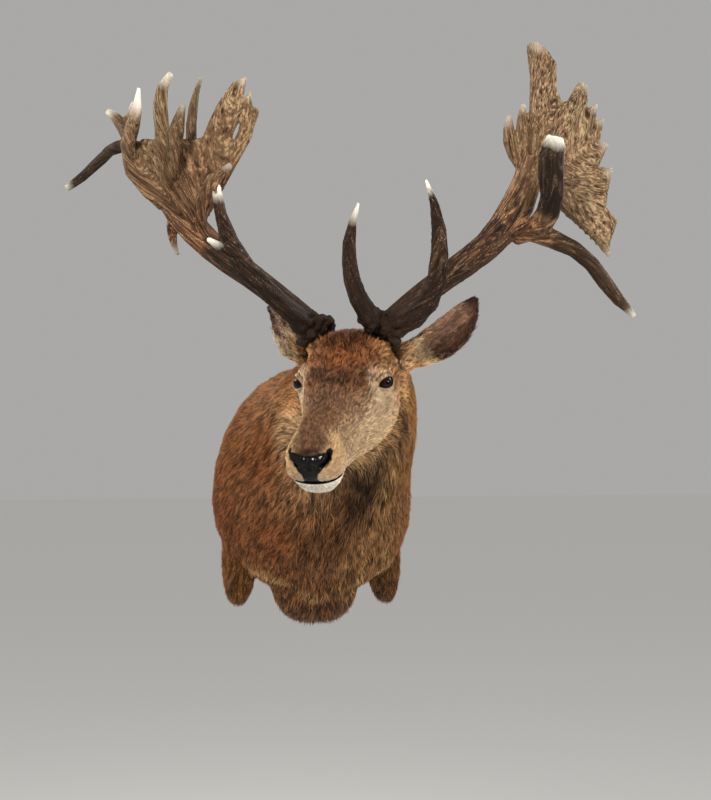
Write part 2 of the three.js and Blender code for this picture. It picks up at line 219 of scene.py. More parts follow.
def ripple(places, size, seed=0):
    """Smooth random values from -1 to 1 that change over about the given size."""
    grid = np.asarray(places) / size + 57.31 * (seed + 1)
    cell = np.floor(grid).astype(np.int64)
    share = grid - cell
    share = share * share * (3 - 2 * share)
    total = np.zeros(len(grid))
    for corner in range(8):
        step = np.array([corner & 1, corner >> 1 & 1, corner >> 2])
        key = (cell + step) @ np.array([73856093, 19349663, 83492791]) & 0x7FFFFFFF
        key = (key ^ key >> 15) * 2246822519 & 0x7FFFFFFF
        key = (key ^ key >> 13) * 3266489917 & 0x7FFFFFFF
        weight = np.prod(np.where(step, share, 1 - share), axis=1)
        total += weight * ((key ^ key >> 16) / 0x3FFFFFFF - 1)
    return total


print("a smooth step at its quarters:", rise(np.array([0.25, 0.5, 0.75]), 0, 1))

# %% Smoothing along edges, and distance to a line


def spread(values, ends, rounds, pull=None):
    """Averages values with their neighbours along the edges, evenly or by the pull of each edge."""
    pull = np.ones(len(ends)) if pull is None else pull
    count = len(values)
    total = 1 + np.bincount(ends[:, 0], pull, count) + np.bincount(ends[:, 1], pull, count)
    flat = values.reshape(count, -1)
    for _ in range(rounds):
        summed = flat.copy()
        for column in range(flat.shape[1]):
            summed[:, column] += np.bincount(ends[:, 0], pull * flat[ends[:, 1], column], count)
            summed[:, column] += np.bincount(ends[:, 1], pull * flat[ends[:, 0], column], count)
        flat = summed / total[:, None]
    return flat.reshape(values.shape)


def melt(places, ends, rounds):
    """Smooths points without shrinking what is thin: each round pulls them in and lets them out again."""
    for _ in range(rounds):
        places = places + 0.50 * (spread(places, ends, 1) - places)
        places = places - 0.52 * (spread(places, ends, 1) - places)
    return places


def far_from_line(places, line):
    """How far each place is from a line of points."""
    line = np.asarray(line, float)
    best = np.full(len(places), np.inf)
    if len(line) == 1:
        return np.linalg.norm(places - line[0], axis=1)
    for start, stop in zip(line[:-1], line[1:]):
        run = stop - start
        share = np.clip((places - start) @ run / max(run @ run, 1e-12), 0, 1)
        best = np.minimum(best, np.linalg.norm(places - start - share[:, None] * run, axis=1))
    return best


print("middle of the mount to the camera:", far_from_line(np.array([MIDDLE]), [CAMERA_AT]).round(2), "m")

# %% [markdown]
# ## The head's own frame
#
# Every form of the head is easier to place in a frame of its own: how far to the side, how far ahead
# of the eyes and how far up, in millimetres. The eyes of the frame give its middle and its side
# axis, and the head's nod gives the rest.

# %% Head frame
HEAD_NOD = math.radians(33)

eye_middle = {side: sum(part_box(f"eye_{side}"), Vector()) / 2 for side in ("left", "right")}
HEAD_AT = np.array((eye_middle["left"] + eye_middle["right"]) / 2)
across = (eye_middle["left"] - eye_middle["right"]).normalized()
level_back = Vector((0, 0, 1)).cross(across)
back = level_back * math.cos(HEAD_NOD) + Vector((0, 0, math.sin(HEAD_NOD)))
HEAD_AXES = np.array([across, -back, across.cross(back)])


def in_head(places):
    """Places in the head's frame: to its left, ahead, up, in millimetres."""
    return (np.asarray(places) - HEAD_AT) @ HEAD_AXES.T / MM


def from_head(spot):
    """A spot of the head's frame as a place in metres."""
    return HEAD_AT + np.asarray(spot, float) @ HEAD_AXES * MM


EYE_SIDE = float((eye_middle["left"] - eye_middle["right"]).length / 2 / MM)
print("middle of the eyes:", HEAD_AT.round(3), "half their span:", round(EYE_SIDE, 1), "mm")

# %% [markdown]
# ## One skin
#
# The hide is one piece, while the frame has a node for the head, neck, trunk, legs and ears. Their
# copies are joined and remeshed in small voxels, which closes the fine cuts between them. That is
# simpler than a boolean union and gives an even net of faces to sculpt. The trunk needs far fewer
# faces than the head, so a Decimate modifier thins it by a vertex group.

# %% Mesh helpers
FLESH = ("trunk", "neck", "head", "leg_left", "leg_right", "ear_left", "ear_right")


@contextlib.contextmanager
def edited(mesh):
    """A bmesh of a mesh, written back when the work on it is done."""
    bm = bmesh.new()
    bm.from_mesh(mesh)
    bm.verts.ensure_lookup_table()
    bm.faces.ensure_lookup_table()
    yield bm
    bm.to_mesh(mesh)
    bm.free()


def joined_copy(name, node_names):
    """One mesh piece from merged copies of the frame's solids."""
    bm = bmesh.new()
    for node in node_names:
        bm.from_mesh(nodes[node].data)
    bmesh.ops.remove_doubles(bm, verts=bm.verts, dist=1e-5)
    return piece_of(name, bm)


def apply_modifiers(piece):
    """Turns what a piece's modifiers make into its own mesh."""
    depsgraph = bpy.context.evaluated_depsgraph_get()
    made = bpy.data.meshes.new_from_object(piece.evaluated_get(depsgraph))
    piece.modifiers.clear()
    piece.vertex_groups.clear()
    piece.data = made


def remesh(piece, voxel):
    """Gives a piece an even net of faces."""
    modifier = piece.modifiers.new("remesh", "REMESH")
    modifier.mode = "VOXEL"
    modifier.voxel_size = voxel
    apply_modifiers(piece)


def drop_crumbs(piece):
    """Deletes what isn't joined to the largest body of a piece."""
    with edited(piece.data) as bm:
        left = set(bm.verts)
        bodies = []
        while left:
            body = [left.pop()]
            for vert in body:
                for edge in vert.link_edges:
                    other = edge.other_vert(vert)
                    if other in left:
                        left.discard(other)
                        body.append(other)
            bodies.append(body)
        bodies.sort(key=len)
        for body in bodies[:-1]:
            bmesh.ops.delete(bm, geom=body, context="VERTS")


print("solids of flesh:", len(FLESH))

# %% Skin
SKIN_VOXEL = 0.003

skin = joined_copy("skin", FLESH + ("eye_left", "eye_right"))
remesh(skin, SKIN_VOXEL)
drop_crumbs(skin)
print("skin:", len(skin.data.vertices), "points")

# %% [markdown]
# The remesh keeps the flat facets of the solids and small steps of its own. Averaging every point
# with its neighbours melts both. The ears are only a few millimetres thick and would wither, so for
# them each round of averaging is followed by one that lets them out again. Only then is the trunk
# thinned, because averaging over large faces would shrink it.

# %% Which part each point belongs to
PART_STEP = 0.006  # between the spots that stand for a node's surface


def nearest_part(places, names):
    """For each place, the number of the named node whose surface lies nearest."""
    spots = []
    owner = []
    for number, name in enumerate(names):
        mesh = nodes[name].data
        for face in mesh.polygons:
            corners = [mesh.vertices[v].co for v in face.vertices]
            steps = max(1, int(math.sqrt(face.area) / PART_STEP))
            for i in range(steps):
                for j in range(steps - i):
                    a, b = (i + 0.33) / steps, (j + 0.33) / steps
                    spots.append(corners[0] * (1 - a - b) + corners[1] * a + corners[2] * b)
                    owner.append(number)
    tree = KDTree(len(spots))
    for index, spot in enumerate(spots):
        tree.insert(spot, index)
    tree.balance()
    return np.array([owner[tree.find(place)[1]] for place in places])


def ear_share_of(places, ends):
    """1 on the ears, 0 elsewhere, with a soft step between."""
    on_ear = nearest_part(places, FLESH) >= FLESH.index("ear_left")
    return np.clip(spread(on_ear.astype(float), ends, 4), 0, 1)


places = points_of(skin.data)
ends = edges_of(skin.data)
ear_share = ear_share_of(places, ends)
soft = spread(places, ends, 14)
kept = melt(places, ends, 24)
move_points(skin.data, soft + (kept - soft) * ear_share[:, None])
print("points of the ears:", int(ear_share.round().sum()), "of", len(places))

# %% Thinner net on the trunk
FACE_MIDDLE = from_head((0, 70, -30))
THIN_STEPS = 10
THIN_RATIO = 0.32

coarse = rise(np.linalg.norm(places - FACE_MIDDLE, axis=1), 0.21, 0.30) * (1 - ear_share)
group = skin.vertex_groups.new(name="coarse")
for step in range(1, THIN_STEPS + 1):
    chosen = np.flatnonzero(np.ceil(coarse * THIN_STEPS) == step)
    group.add(chosen.tolist(), step / THIN_STEPS, "REPLACE")
thin = skin.modifiers.new("thin", "DECIMATE")
thin.ratio = THIN_RATIO
thin.vertex_group = "coarse"
thin.vertex_group_factor = 1e-5
apply_modifiers(skin)
places = points_of(skin.data)
ends = edges_of(skin.data)
ear_share = ear_share_of(places, ends)
print("thinned skin:", len(places), "points, of the ears:", int(ear_share.round().sum()))

# %% [markdown]
# ## The lie of the coat
#
# Hair on a stag's face grows from the nose up to the brow, then back over the cheeks; on the neck it
# runs down and back, and it is longest under the throat. A table of guides says this as a maker
# would: at this spot the hair lies that way and is so long. Each point of the skin takes a mean of
# the guides near it, so the coat turns smoothly. The same table gives the depth of the coat, by
# which the skin lies inside the solids.

# %% Guides
# Spots of the head's frame (left, ahead, up), the way the hair lies there in the same frame, its
# length in millimetres; each is used on both sides.
HEAD_GUIDES = [
    ((0, 246, 22), (0, -1, 0.2), 3),
    ((40, 225, 10), (0, -1, 0.3), 4),
    ((48, 215, -30), (0, -1, -0.1), 4),
    ((30, 245, -35), (0.5, -1, -0.2), 4),
    ((0, 238, -75), (0, -1, -0.1), 4.5),
    ((0, 180, -95), (0, -1, 0), 8),
    ((0, 185, 36), (0, -1, 0.1), 5),
    ((0, 120, 40), (0, -1, 0.1), 6),
    ((48, 150, -40), (0, -1, -0.1), 6),
    ((60, 90, -50), (0, -1, -0.2), 7),
    ((74, 45, -15), (0.2, -1, 0), 6),
    ((82, 20, -70), (0, -1, -0.25), 8),
    ((0, 70, 46), (0.1, -1, 0.3), 9),
    ((45, 45, 44), (0.4, -1, 0.3), 10),
    ((76, 5, 38), (0.3, -1, 0), 6),
    ((0, 20, 60), (0.1, -1, 0.5), 15),
    ((45, 0, 62), (0.5, -1, 0.3), 14),
    ((0, -35, 72), (0, -1, 0.7), 22),
    ((90, -45, 0), (0.1, -1, -0.1), 9),
    ((92, -80, -40), (0, -1, -0.6), 13),
    ((82, -30, -110), (0, -1, -0.45), 12),
    ((0, 90, -125), (0, -1, -0.1), 10),
    ((0, 0, -150), (0, -0.8, -0.4), 18),
    ((0, -110, 60), (0, -1, 0.1), 16),
]
# Spots of the mount in millimetres, the way the hair lies and its length.
BODY_GUIDES = [
    ((60, -440, 300), (-0.1, 0.9, 0.1), 17),
    ((40, -330, 300), (-0.1, 1, -0.1), 19),
    ((180, -440, 170), (0.25, 0.35, -0.9), 17),
    ((-40, -400, 200), (-0.5, 0.5, -0.7), 15),
    ((190, -390, 60), (0.15, 0.3, -0.95), 19),
    ((-100, -360, 90), (-0.45, 0.35, -0.8), 18),
    ((90, -450, 20), (-0.15, 0.0, -1), 27),
    ((60, -450, -60), (-0.3, 0.1, -1), 29),
    ((0, -420, -120), (-0.25, 0.2, -0.95), 26),
    ((0, -370, -200), (0, 0.4, -0.9), 22),
    ((0, -240, -300), (0, 0.8, -0.3), 22),
    ((120, -380, -120), (0.2, 0.4, -0.9), 20),
    ((-120, -370, -120), (-0.5, 0.4, -0.8), 18),
    ((205, -230, 20), (0.1, 0.55, -0.85), 16),
    ((-205, -230, 20), (-0.3, 0.5, -0.85), 16),
    ((0, -130, 250), (0, 1, -0.1), 20),
    ((140, -180, 180), (0.3, 0.8, -0.5), 16),
    ((-140, -180, 180), (-0.3, 0.8, -0.5), 16),
    ((212, -60, -30), (0.05, 0.8, -0.6), 16),
    ((-212, -60, -30), (-0.05, 0.8, -0.6), 16),
    ((120, -60, -190), (0, 0.9, -0.2), 20),
    ((-120, -60, -190), (0, 0.9, -0.2), 20),
    ((160, -210, -215), (0.05, 0.3, -1), 15),
    ((-160, -210, -215), (-0.05, 0.3, -1), 15),
    ((157, -110, -235), (0, 0.3, -1), 16),
    ((-157, -110, -235), (0, 0.3, -1), 16),
]
EAR_HAIR = 7
GUIDE_REACH = 0.055
DEPTH_SHARE = 0.30

guides = [(np.array(spot) * MM, unit(np.array(way, float)), length) for spot, way, length in BODY_GUIDES]
for (side, ahead, up), (to_side, to_front, to_top), length in HEAD_GUIDES:
    for mirror in (1, -1) if side else (1,):
        way = np.array((mirror * to_side, to_front, to_top)) @ HEAD_AXES
        guides.append((from_head((mirror * side, ahead, up)), unit(way), length))


def lie_of_hair(places):
    """The way the hair lies at each place, not yet laid on the skin, and its length in millimetres."""
    way = np.zeros((len(places), 3))
    length = np.zeros(len(places))
    total = np.zeros(len(places))
    for spot, guide_way, guide_length in guides:
        far = np.linalg.norm(places - spot, axis=1) / GUIDE_REACH
        weight = 1 / (0.04 + far**4)
        way += weight[:, None] * guide_way
        length += weight * guide_length
        total += weight
    return unit(way), length / total


_, hair_length = lie_of_hair(places)
hair_length = hair_length * (1 - ear_share) + EAR_HAIR * ear_share
print("guides:", len(guides), "hair:", hair_length.min().round(1), "to", hair_length.max().round(1), "mm")

# %% [markdown]
# Now the skin sinks by the depth of the coat, along its own normals. The back of the trunk lies on the
# board, where no hair grows, and stays where it is.

# %% Under the coat
EAR_THINNER = 0.55

normals = points_of(skin.data, "normal")
on_board = rise(places[:, 1], -0.030, -0.020)
depth = DEPTH_SHARE * hair_length * (1 - on_board) * (1 - EAR_THINNER * ear_share)
depth = spread(depth, ends, 6)
places = places - normals * depth[:, None] * MM
move_points(skin.data, places)
print("coat depth:", depth.min().round(1), "to", depth.max().round(1), "mm")

# %% [markdown]
# ## Sculpting the face
#
# The face is short-haired, so the bones and folds under it show: brow, cheek crest, the edge of the
# nose bone, the tear pit before the eye, the wings of the nostrils and the lips. Each is a line in
# the head's frame that pushes the skin out or in with a soft edge, which is what a sculpting brush
# does. First the faces there are cut smaller, so that a two-millimetre fold has points to stand on.

# %% Finer faces where the detail is
EYE_REACH = 30
MUZZLE_FROM = 188
NOSTRIL = [(39, 241, 9), (41, 247, 1), (36, 254, -6), (26, 259, -11)]
MOUTH_AHEAD = (184, 208, 230, 248, 258)
MOUTH_UP = (-66, -57, -50, -47, -50)


def refine(mesh, chosen):
    """Cuts in two every edge whose ends are both chosen by a test on head-frame places."""
    keep = chosen(in_head(points_of(mesh)))
    with edited(mesh) as bm:
        edges = [e for e in bm.edges if keep[e.verts[0].index] and keep[e.verts[1].index]]
        bmesh.ops.subdivide_edges(bm, edges=edges, cuts=1, use_grid_fill=True, smooth=0.0)


def near_eye(spots, reach):
    """True near either eye."""
    return np.hypot(np.hypot(np.abs(spots[:, 0]) - EYE_SIDE, spots[:, 1]), spots[:, 2]) < reach


def off_mouth(spots):
    """How far above the line of the mouth each spot lies, a great way off behind its corner."""
    above = spots[:, 2] - np.interp(spots[:, 1], MOUTH_AHEAD, MOUTH_UP)
    return above + 100 * (spots[:, 1] < MOUTH_AHEAD[0])


def detailed(spots):
    """True on the muzzle and round the eyes."""
    return (spots[:, 1] > MUZZLE_FROM) | near_eye(spots, EYE_REACH + 8)


def finest(spots):
    """True near a lid, a nostril or the mouth."""
    by_nose = far_from_line(mirrored(spots), NOSTRIL) < 13
    by_mouth = np.abs(off_mouth(spots)) < 7
    return by_nose | by_mouth | near_eye(spots, EYE_REACH - 4)


refine(skin.data, detailed)
refine(skin.data, finest)
print("skin with fine faces:", len(skin.data.vertices), "points")

# %% Forms of the face
# Lines in the head's frame: points, reach and height in millimetres; each is used on both sides.
FACE_FORMS = [
    ([(88, 2, 6)], 30, 5.5),  # the orbit stands out of the side of the head
    ([(66, 34, 26), (84, 14, 30), (94, -14, 26)], 10, 4.0),  # brow ridge
    ([(70, 44, 2), (64, 58, -4), (58, 70, -8)], 8, -2.0),  # hollow of the tear pit
    ([(79, 36, -18), (88, 0, -30), (90, -50, -40)], 12, 2.5),  # cheek bone
    ([(84, -10, -62), (80, -40, -80)], 30, 2.0),  # cheek muscle
    ([(60, 92, -22), (50, 140, -16), (44, 185, -10)], 13, -2.5),  # hollow along the nose
    ([(34, 70, 42), (30, 130, 36), (27, 190, 31)], 8, 1.5),  # edge of the nose bone
    ([(0, 75, 46), (0, 150, 38)], 10, -1.0),  # furrow down the bridge
    ([(62, 80, -80), (52, 140, -75)], 14, -1.5),  # slack of the cheek
    ([(31, 240, 17), (43, 242, 7), (47, 247, -4)], 6, 2.5),  # rim of the nostril
    ([(0, 257, 0), (16, 258, -2), (30, 252, 1)], 5.5, 3.4),  # upper edge of the pad
    ([(20, 259, -36), (40, 252, -34), (50, 232, -38)], 9, 2.5),  # upper lip
    ([(0, 250, -62), (24, 247, -60), (40, 238, -58)], 7, -2.0),  # lower lip set back
    ([(0, 240, -78), (20, 236, -76)], 12, 1.5),  # chin
    ([(92, -72, -8), (102, -98, 0)], 22, 11.0),  # root of the ear
]
SHARP_FORMS = [
    (NOSTRIL, 6.0, -15.0),
    ([(0, 262, -14), (0, 262, -30), (0, 259, -48)], 1.8, -2.2),  # groove of the upper lip
    ([(31, 244, 10), (33, 250, 2), (28, 257, -3), (19, 260, -9)], 3.6, 4.2),  # inner rim
    ([(0, 255, 5), (0, 261, -4), (0, 262, -16)], 4.0, -3.6),  # cleft of the pad
    ([(22, 258, -14), (15, 260, -24), (12, 260, -36)], 4.0, 1.6),  # side of the strip below the pad
    ([(75, 25, 4), (71, 36, 1), (67, 47, -3), (63, 56, -8)], 2.2, -4.0),  # tear slit
]


def even_normals(mesh):
    """A mesh's normals, averaged over a few faces."""
    return unit(spread(points_of(mesh, "normal"), edges_of(mesh), 6))


def sculpt(mesh, forms):
    """Pushes the skin out or in round lines of the head's frame, on both sides."""
    places = points_of(mesh)
    normals = even_normals(mesh)
    spots = mirrored(in_head(places))
    near = np.flatnonzero((spots[:, 1] > -120) & (spots[:, 2] > -170))
    for line, reach, height in forms:
        push = height * bell(far_from_line(spots[near], line), 0, reach)
        places[near] += normals[near] * push[:, None] * MM
    move_points(mesh, places)


sculpt(skin.data, FACE_FORMS)
sculpt(skin.data, SHARP_FORMS)
print("forms of the face:", len(FACE_FORMS) + len(SHARP_FORMS))

# %% Forms of the body and the cut of the mouth
# Lines of the mount in millimetres, on one side as the stag wears them.
BODY_FORMS = [
    ([(-190, -230, -150), (-150, -265, -172), (-110, -285, -190), (-70, -300, -188)], 10, 11.0),
    ([(-170, -225, -178), (-130, -250, -205), (-95, -270, -215)], 14, -13.0),  # hollow of the armpit
    ([(196, -215, -150), (170, -250, -165), (130, -280, -180)], 10, 10.0),
    ([(180, -220, -185), (140, -255, -205)], 14, -12.0),
    ([(-50, -318, -200), (0, -312, -232), (62, -305, -205), (104, -340, -150)], 9, 9.0),  # brisket
    ([(20, -335, -190), (60, -335, -160), (90, -360, -120)], 13, -9.0),
    ([(30, -440, -20), (5, -420, -90), (-5, -385, -150)], 14, -10.0),  # between the cords of the neck
    ([(58, -448, -30), (40, -425, -95), (30, -390, -150)], 11, 8.0),
    ([(100, -440, -20), (84, -415, -90)], 13, -8.0),
    ([(140, -440, 60), (132, -430, 10), (118, -405, -60)], 12, 8.0),
    ([(-120, -345, 110), (-140, -310, 20), (-150, -280, -60)], 24, -8.0),  # before the shoulder
    ([(-190, -260, 40), (-195, -240, -60)], 26, 4.0),
    ([(-60, -375, 190), (-90, -365, 120), (-95, -360, 40)], 18, 6.0),
]
MOUTH_CUT = 5.0
MOUTH_WIDTH = 3.0

places = points_of(skin.data)
normals = even_normals(skin.data)
for line, reach, height in BODY_FORMS:
    push = height * bell(far_from_line(places, np.array(line) * MM) / MM, 0, reach)
    places = places + normals * push[:, None] * MM
move_points(skin.data, places)
spots = in_head(places)
slot = MOUTH_CUT * bell(off_mouth(spots), 0, MOUTH_WIDTH) * rise(spots[:, 1], 186, 205)
move_points(skin.data, places - unit(points_of(skin.data, "normal")) * slot[:, None] * MM)
print("forms of the body:", len(BODY_FORMS), "deepest cut of the mouth:", slot.max().round(1), "mm")

# %% [markdown]
# ## Lids
#
# A lid is the skin itself, wrapped over the eyeball and cut open along an almond. So the skin round
# each eye is first drawn onto a ball a little larger than the eye, the faces inside the almond are
# taken out, and the edge is turned in to the eyeball, which gives the lid its thickness.

# %% The eyes' own axes
eye_low, eye_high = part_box("eye_left")
EYE_RADIUS = float(max(eye_high - eye_low) / 2 / MM)
EYE_AXIS = unit(np.array((0.72, 0.58, 0.38)))  # out of the head's left side, in its frame
EYE_INNER = unit(np.array((-0.05, 0.97, 0.22)))  # towards the corner by the tear slit


class Eye:
    """One eye's middle and axes in metres, and places over its ball as flat millimetres."""

    def __init__(self, side):
        mirror = np.array((side, 1, 1))
        self.middle = from_head((side * EYE_SIDE, 0, 0))
        self.axis = (EYE_AXIS * mirror) @ HEAD_AXES
        inner = (EYE_INNER * mirror) @ HEAD_AXES
        self.long = unit(inner - (inner @ self.axis) * self.axis)
        upward = np.cross(self.axis, self.long)
        self.high = upward * np.sign(upward @ HEAD_AXES[2])

    def flat(self, places):
        """Distance from the middle, and how far along and above the axis a place lies on the ball."""
        off = (places - self.middle) / MM
        radius = np.linalg.norm(off, axis=1)
        off = off / np.maximum(radius, 1e-9)[:, None]
        angle = np.arccos(np.clip(off @ self.axis, -1, 1))
        side = np.column_stack((off @ self.long, off @ self.high))
        side = side / np.maximum(np.linalg.norm(side, axis=1), 1e-9)[:, None]
        return radius, side * (angle * EYE_RADIUS)[:, None]

    def round(self, radius, flat):
        """The places at one distance from the middle, in the directions that flat millimetres give."""
        far = np.linalg.norm(flat, axis=1)
        angle = far / EYE_RADIUS
        side = flat / np.maximum(far, 1e-9)[:, None]
        way = np.cos(angle)[:, None] * self.axis
        way = way + np.sin(angle)[:, None] * (side[:, :1] * self.long + side[:, 1:] * self.high)
        return self.middle + way * radius * MM


eyes = {"left": Eye(1), "right": Eye(-1)}
print("eye radius:", round(EYE_RADIUS, 1), "mm")

# %% Openings of the lids
OPENING = 17.0  # half the length of the opening, over the ball
UPPER_LID = 8.0
LOWER_LID = 8.0
LID = 2.0  # thickness
LID_END = 14  # how far out of the ball the skin still counts as the eye's own


def lid_edge(along):
    """How high the upper and the lower lid stand at each place along the opening."""
    arch = np.clip(1 - (along / OPENING) ** 2, 0, 1)
    return UPPER_LID * arch**0.5, -LOWER_LID * arch**0.8


def off_opening(eye, places):
    """Millimetres from the edge of an eye's opening, less than 0 inside it, and the way out of it."""
    radius, flat = eye.flat(places)
    top, foot = lid_edge(flat[:, 0])
    over = np.maximum(flat[:, 1] - top, foot - flat[:, 1])
    over = np.maximum(over, np.abs(flat[:, 0]) - OPENING)
    over = np.maximum(over, radius - EYE_RADIUS - LID_END)
    return over, unit(flat[:, :1] * eye.long + flat[:, 1:] * eye.high)


def draw_over(mesh, eye):
    """Draws the skin round an eye onto a ball a lid's thickness larger than the eye."""
    places = points_of(mesh)
    radius, flat = eye.flat(places)
    on_lid = (1 - rise(np.linalg.norm(flat, axis=1), OPENING + 1, OPENING + 11)) * (radius < 34)
    chosen = np.flatnonzero(on_lid > 0)
    target = eye.round(EYE_RADIUS + LID, flat[chosen])
    places[chosen] += (target - places[chosen]) * on_lid[chosen, None]
    move_points(mesh, places)


def set_round(eye, verts, radius, shape):
    """Moves vertices to a distance from an eye's middle, with their flat places changed by shape."""
    _, flat = eye.flat(np.array([v.co for v in verts]))
    for vert, place in zip(verts, eye.round(radius, shape(flat))):
        vert.co = place


def to_almond(flat):
    """The nearest places on the edge of the opening."""
    along = np.linspace(-OPENING, OPENING, 240)
    almond = np.vstack([np.column_stack((along, edge)) for edge in lid_edge(along)])
    return np.array([almond[np.argmin(((almond - spot) ** 2).sum(1))] for spot in flat])


print("opening of the lids:", 2 * OPENING, "by", UPPER_LID + LOWER_LID, "mm")

# %% Cutting and turning in the lids
# Rings of the lid's inner side: their size beside the ring before, and their height over the ball.
LID_RINGS = ((0.97, LID * 0.45), (0.98, 0.1), (1.25, -0.4))


def cut_lids(mesh, eye):
    """Takes out the faces inside the almond and turns the edge in to the eyeball."""
    with edited(mesh) as bm:
        centres = np.array([f.calc_center_median() for f in bm.faces])
        inside = (off_opening(eye, centres)[0] < 0) & (eye.flat(centres)[0] < 30)
        bmesh.ops.delete(bm, geom=[bm.faces[i] for i in np.flatnonzero(inside)], context="FACES")
        rim = [e for e in bm.edges if e.is_boundary]
        ring = list({v for e in rim for v in e.verts})
        set_round(eye, ring, EYE_RADIUS + LID, to_almond)
        beside = list({v for r in ring for e in r.link_edges for v in e.verts} - set(ring))
        every_way = {"use_axis_x": True, "use_axis_y": True, "use_axis_z": True}
        bmesh.ops.smooth_vert(bm, verts=beside, factor=0.5, **every_way)
        for shrink, height in LID_RINGS:
            grown = bmesh.ops.extrude_edge_only(bm, edges=rim)["geom"]
            rim = [g for g in grown if isinstance(g, bmesh.types.BMEdge) and g.is_boundary]
            ring = list({v for e in rim for v in e.verts})
            set_round(eye, ring, EYE_RADIUS + height, lambda flat: flat * shrink)
        bmesh.ops.recalc_face_normals(bm, faces=bm.faces)


for eye in eyes.values():
    draw_over(skin.data, eye)
    cut_lids(skin.data, eye)
print("skin with lids:", len(skin.data.vertices), "points")

# %% Folds round the lids
CREASE = 9.0  # from the edge of the upper lid up to the fold over it
# Height, distance from the opening and reach of each fold.
UPPER_FOLDS = ((2.0, 5.0, 2.6), (-2.8, CREASE, 1.5), (1.6, 14, 3.2))
LOWER_FOLDS = ((1.2, 3.5, 2.2), (-1.2, 8, 2))


def folds(over, table):
    """The sum of a table's folds at each distance from the opening."""
    return sum(height * bell(over, middle, reach) for height, middle, reach in table)


places = points_of(skin.data)
normals = unit(points_of(skin.data, "normal"))
for eye in eyes.values():
    over, outward = off_opening(eye, places)
    above = rise(outward @ eye.high, 0.2, 0.65)
    below = rise(-(outward @ eye.high), 0.2, 0.7)
    fold = above * folds(over, UPPER_FOLDS) + below * folds(over, LOWER_FOLDS)
    places += normals * (fold * (over > 0.8))[:, None] * MM
move_points(skin.data, places)
print("folds round each eye:", len(UPPER_FOLDS) + len(LOWER_FOLDS))

# %% [markdown]
# ## Glass eyes
#
# A taxidermist's eye is a glass ball with a clear front over a dark brown iris and a long pupil that
# lies level. A stretched UV sphere would do, but here the sphere keeps its pole on the eye's axis,
# so the bulge of the cornea is a push along the axis, and the iris can be coloured by how far a
# point lies from the pole.

# %% Eyeballs
CORNEA_REACH = 11.5
CORNEA_RISE = 1.3


def attribute(mesh, name, values):
    """Stores a number or a colour for every vertex, for the materials to read."""
    kind = "FLOAT" if values.ndim == 1 else "FLOAT_COLOR"
    layer = mesh.attributes.new(name, kind, "POINT")
    if values.ndim == 1:
        layer.data.foreach_set("value", np.asarray(values, np.float32))
    else:
        four = np.column_stack((values, np.ones(len(values))))
        layer.data.foreach_set("color", four.astype(np.float32).ravel())


glass_eyes = []
for side, eye in eyes.items():
    bm = bmesh.new()
    bmesh.ops.create_uvsphere(bm, u_segments=48, v_segments=32, radius=EYE_RADIUS * MM)
    turn = Vector((0, 0, 1)).rotation_difference(Vector(eye.axis)).to_matrix().to_4x4()
    bmesh.ops.transform(bm, matrix=Matrix.Translation(eye.middle) @ turn, verts=bm.verts)
    for face in bm.faces:
        face.smooth = True
    ball = piece_of(f"glass_eye_{side}", bm)
    places = points_of(ball.data)
    _, flat = eye.flat(places)
    bulge = CORNEA_RISE * np.clip(1 - (np.linalg.norm(flat, axis=1) / CORNEA_REACH) ** 2, 0, 1)
    move_points(ball.data, places + bulge[:, None] * MM * eye.axis)
    attribute(ball.data, "iris_along", flat[:, 0])
    attribute(ball.data, "iris_up", flat[:, 1])
    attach(ball, "root")
    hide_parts(f"eye_{side}")
    glass_eyes.append(ball)
print("glass eyes:", [ball.name for ball in glass_eyes])

# %% [markdown]
# ## Antlers
#
# An antler is bone that grew under a skin full of blood vessels, and they left their print: grooves
# that run along beam and tines and fan out over the palms, with rows of small pearls beside them,
# rough at the burr and worn smooth at the tips. Here the solids of one antler are joined by a
# remesh. The way it grew is found from the distance of each point to the burr over the surface.

# %% Distances over a surface


def with_diagonals(mesh, ends):
    """The edges, and both diagonals of every face with four corners."""
    corners = np.array([face.vertices for face in mesh.polygons if len(face.vertices) == 4])
    return np.vstack((ends, corners[:, [0, 2]], corners[:, [1, 3]]))


def net_of(places, ends):
    """Each point's neighbours: where its list starts, the neighbours and how far they are."""
    lengths = np.linalg.norm(places[ends[:, 0]] - places[ends[:, 1]], axis=1)
    owners = np.concatenate((ends[:, 0], ends[:, 1]))
    order = np.argsort(owners, kind="stable")
    partner = np.concatenate((ends[:, 1], ends[:, 0]))[order].tolist()
    reach = np.concatenate((lengths, lengths))[order].tolist()
    first = np.searchsorted(owners[order], np.arange(len(places) + 1)).tolist()
    return first, partner, reach


def distance_over(net, starts):
    """The way from the nearest start to every point, along the edges."""
    first, partner, reach = net
    way = [math.inf] * (len(first) - 1)
    heap = [(0.0, int(start)) for start in starts]
    for _, start in heap:
        way[start] = 0.0
    while heap:
        far, at = heapq.heappop(heap)
        if far > way[at]:
            continue
        for k in range(first[at], first[at + 1]):
            step = far + reach[k]
            if step < way[partner[k]]:
                way[partner[k]] = step
                heapq.heappush(heap, (step, partner[k]))
    return np.array(way)


def growth(places, ends, far):
    """The way in which a distance grows fastest, at every point."""
    edge = places[ends[:, 1]] - places[ends[:, 0]]
    slope = (far[ends[:, 1]] - far[ends[:, 0]]) / np.maximum((edge**2).sum(1), 1e-12)
    way = np.column_stack([
        np.bincount(ends[:, 0], slope * edge[:, k], len(places))
        + np.bincount(ends[:, 1], slope * edge[:, k], len(places))
        for k in range(3)
    ])
    return unit(spread(unit(way), ends, 30))


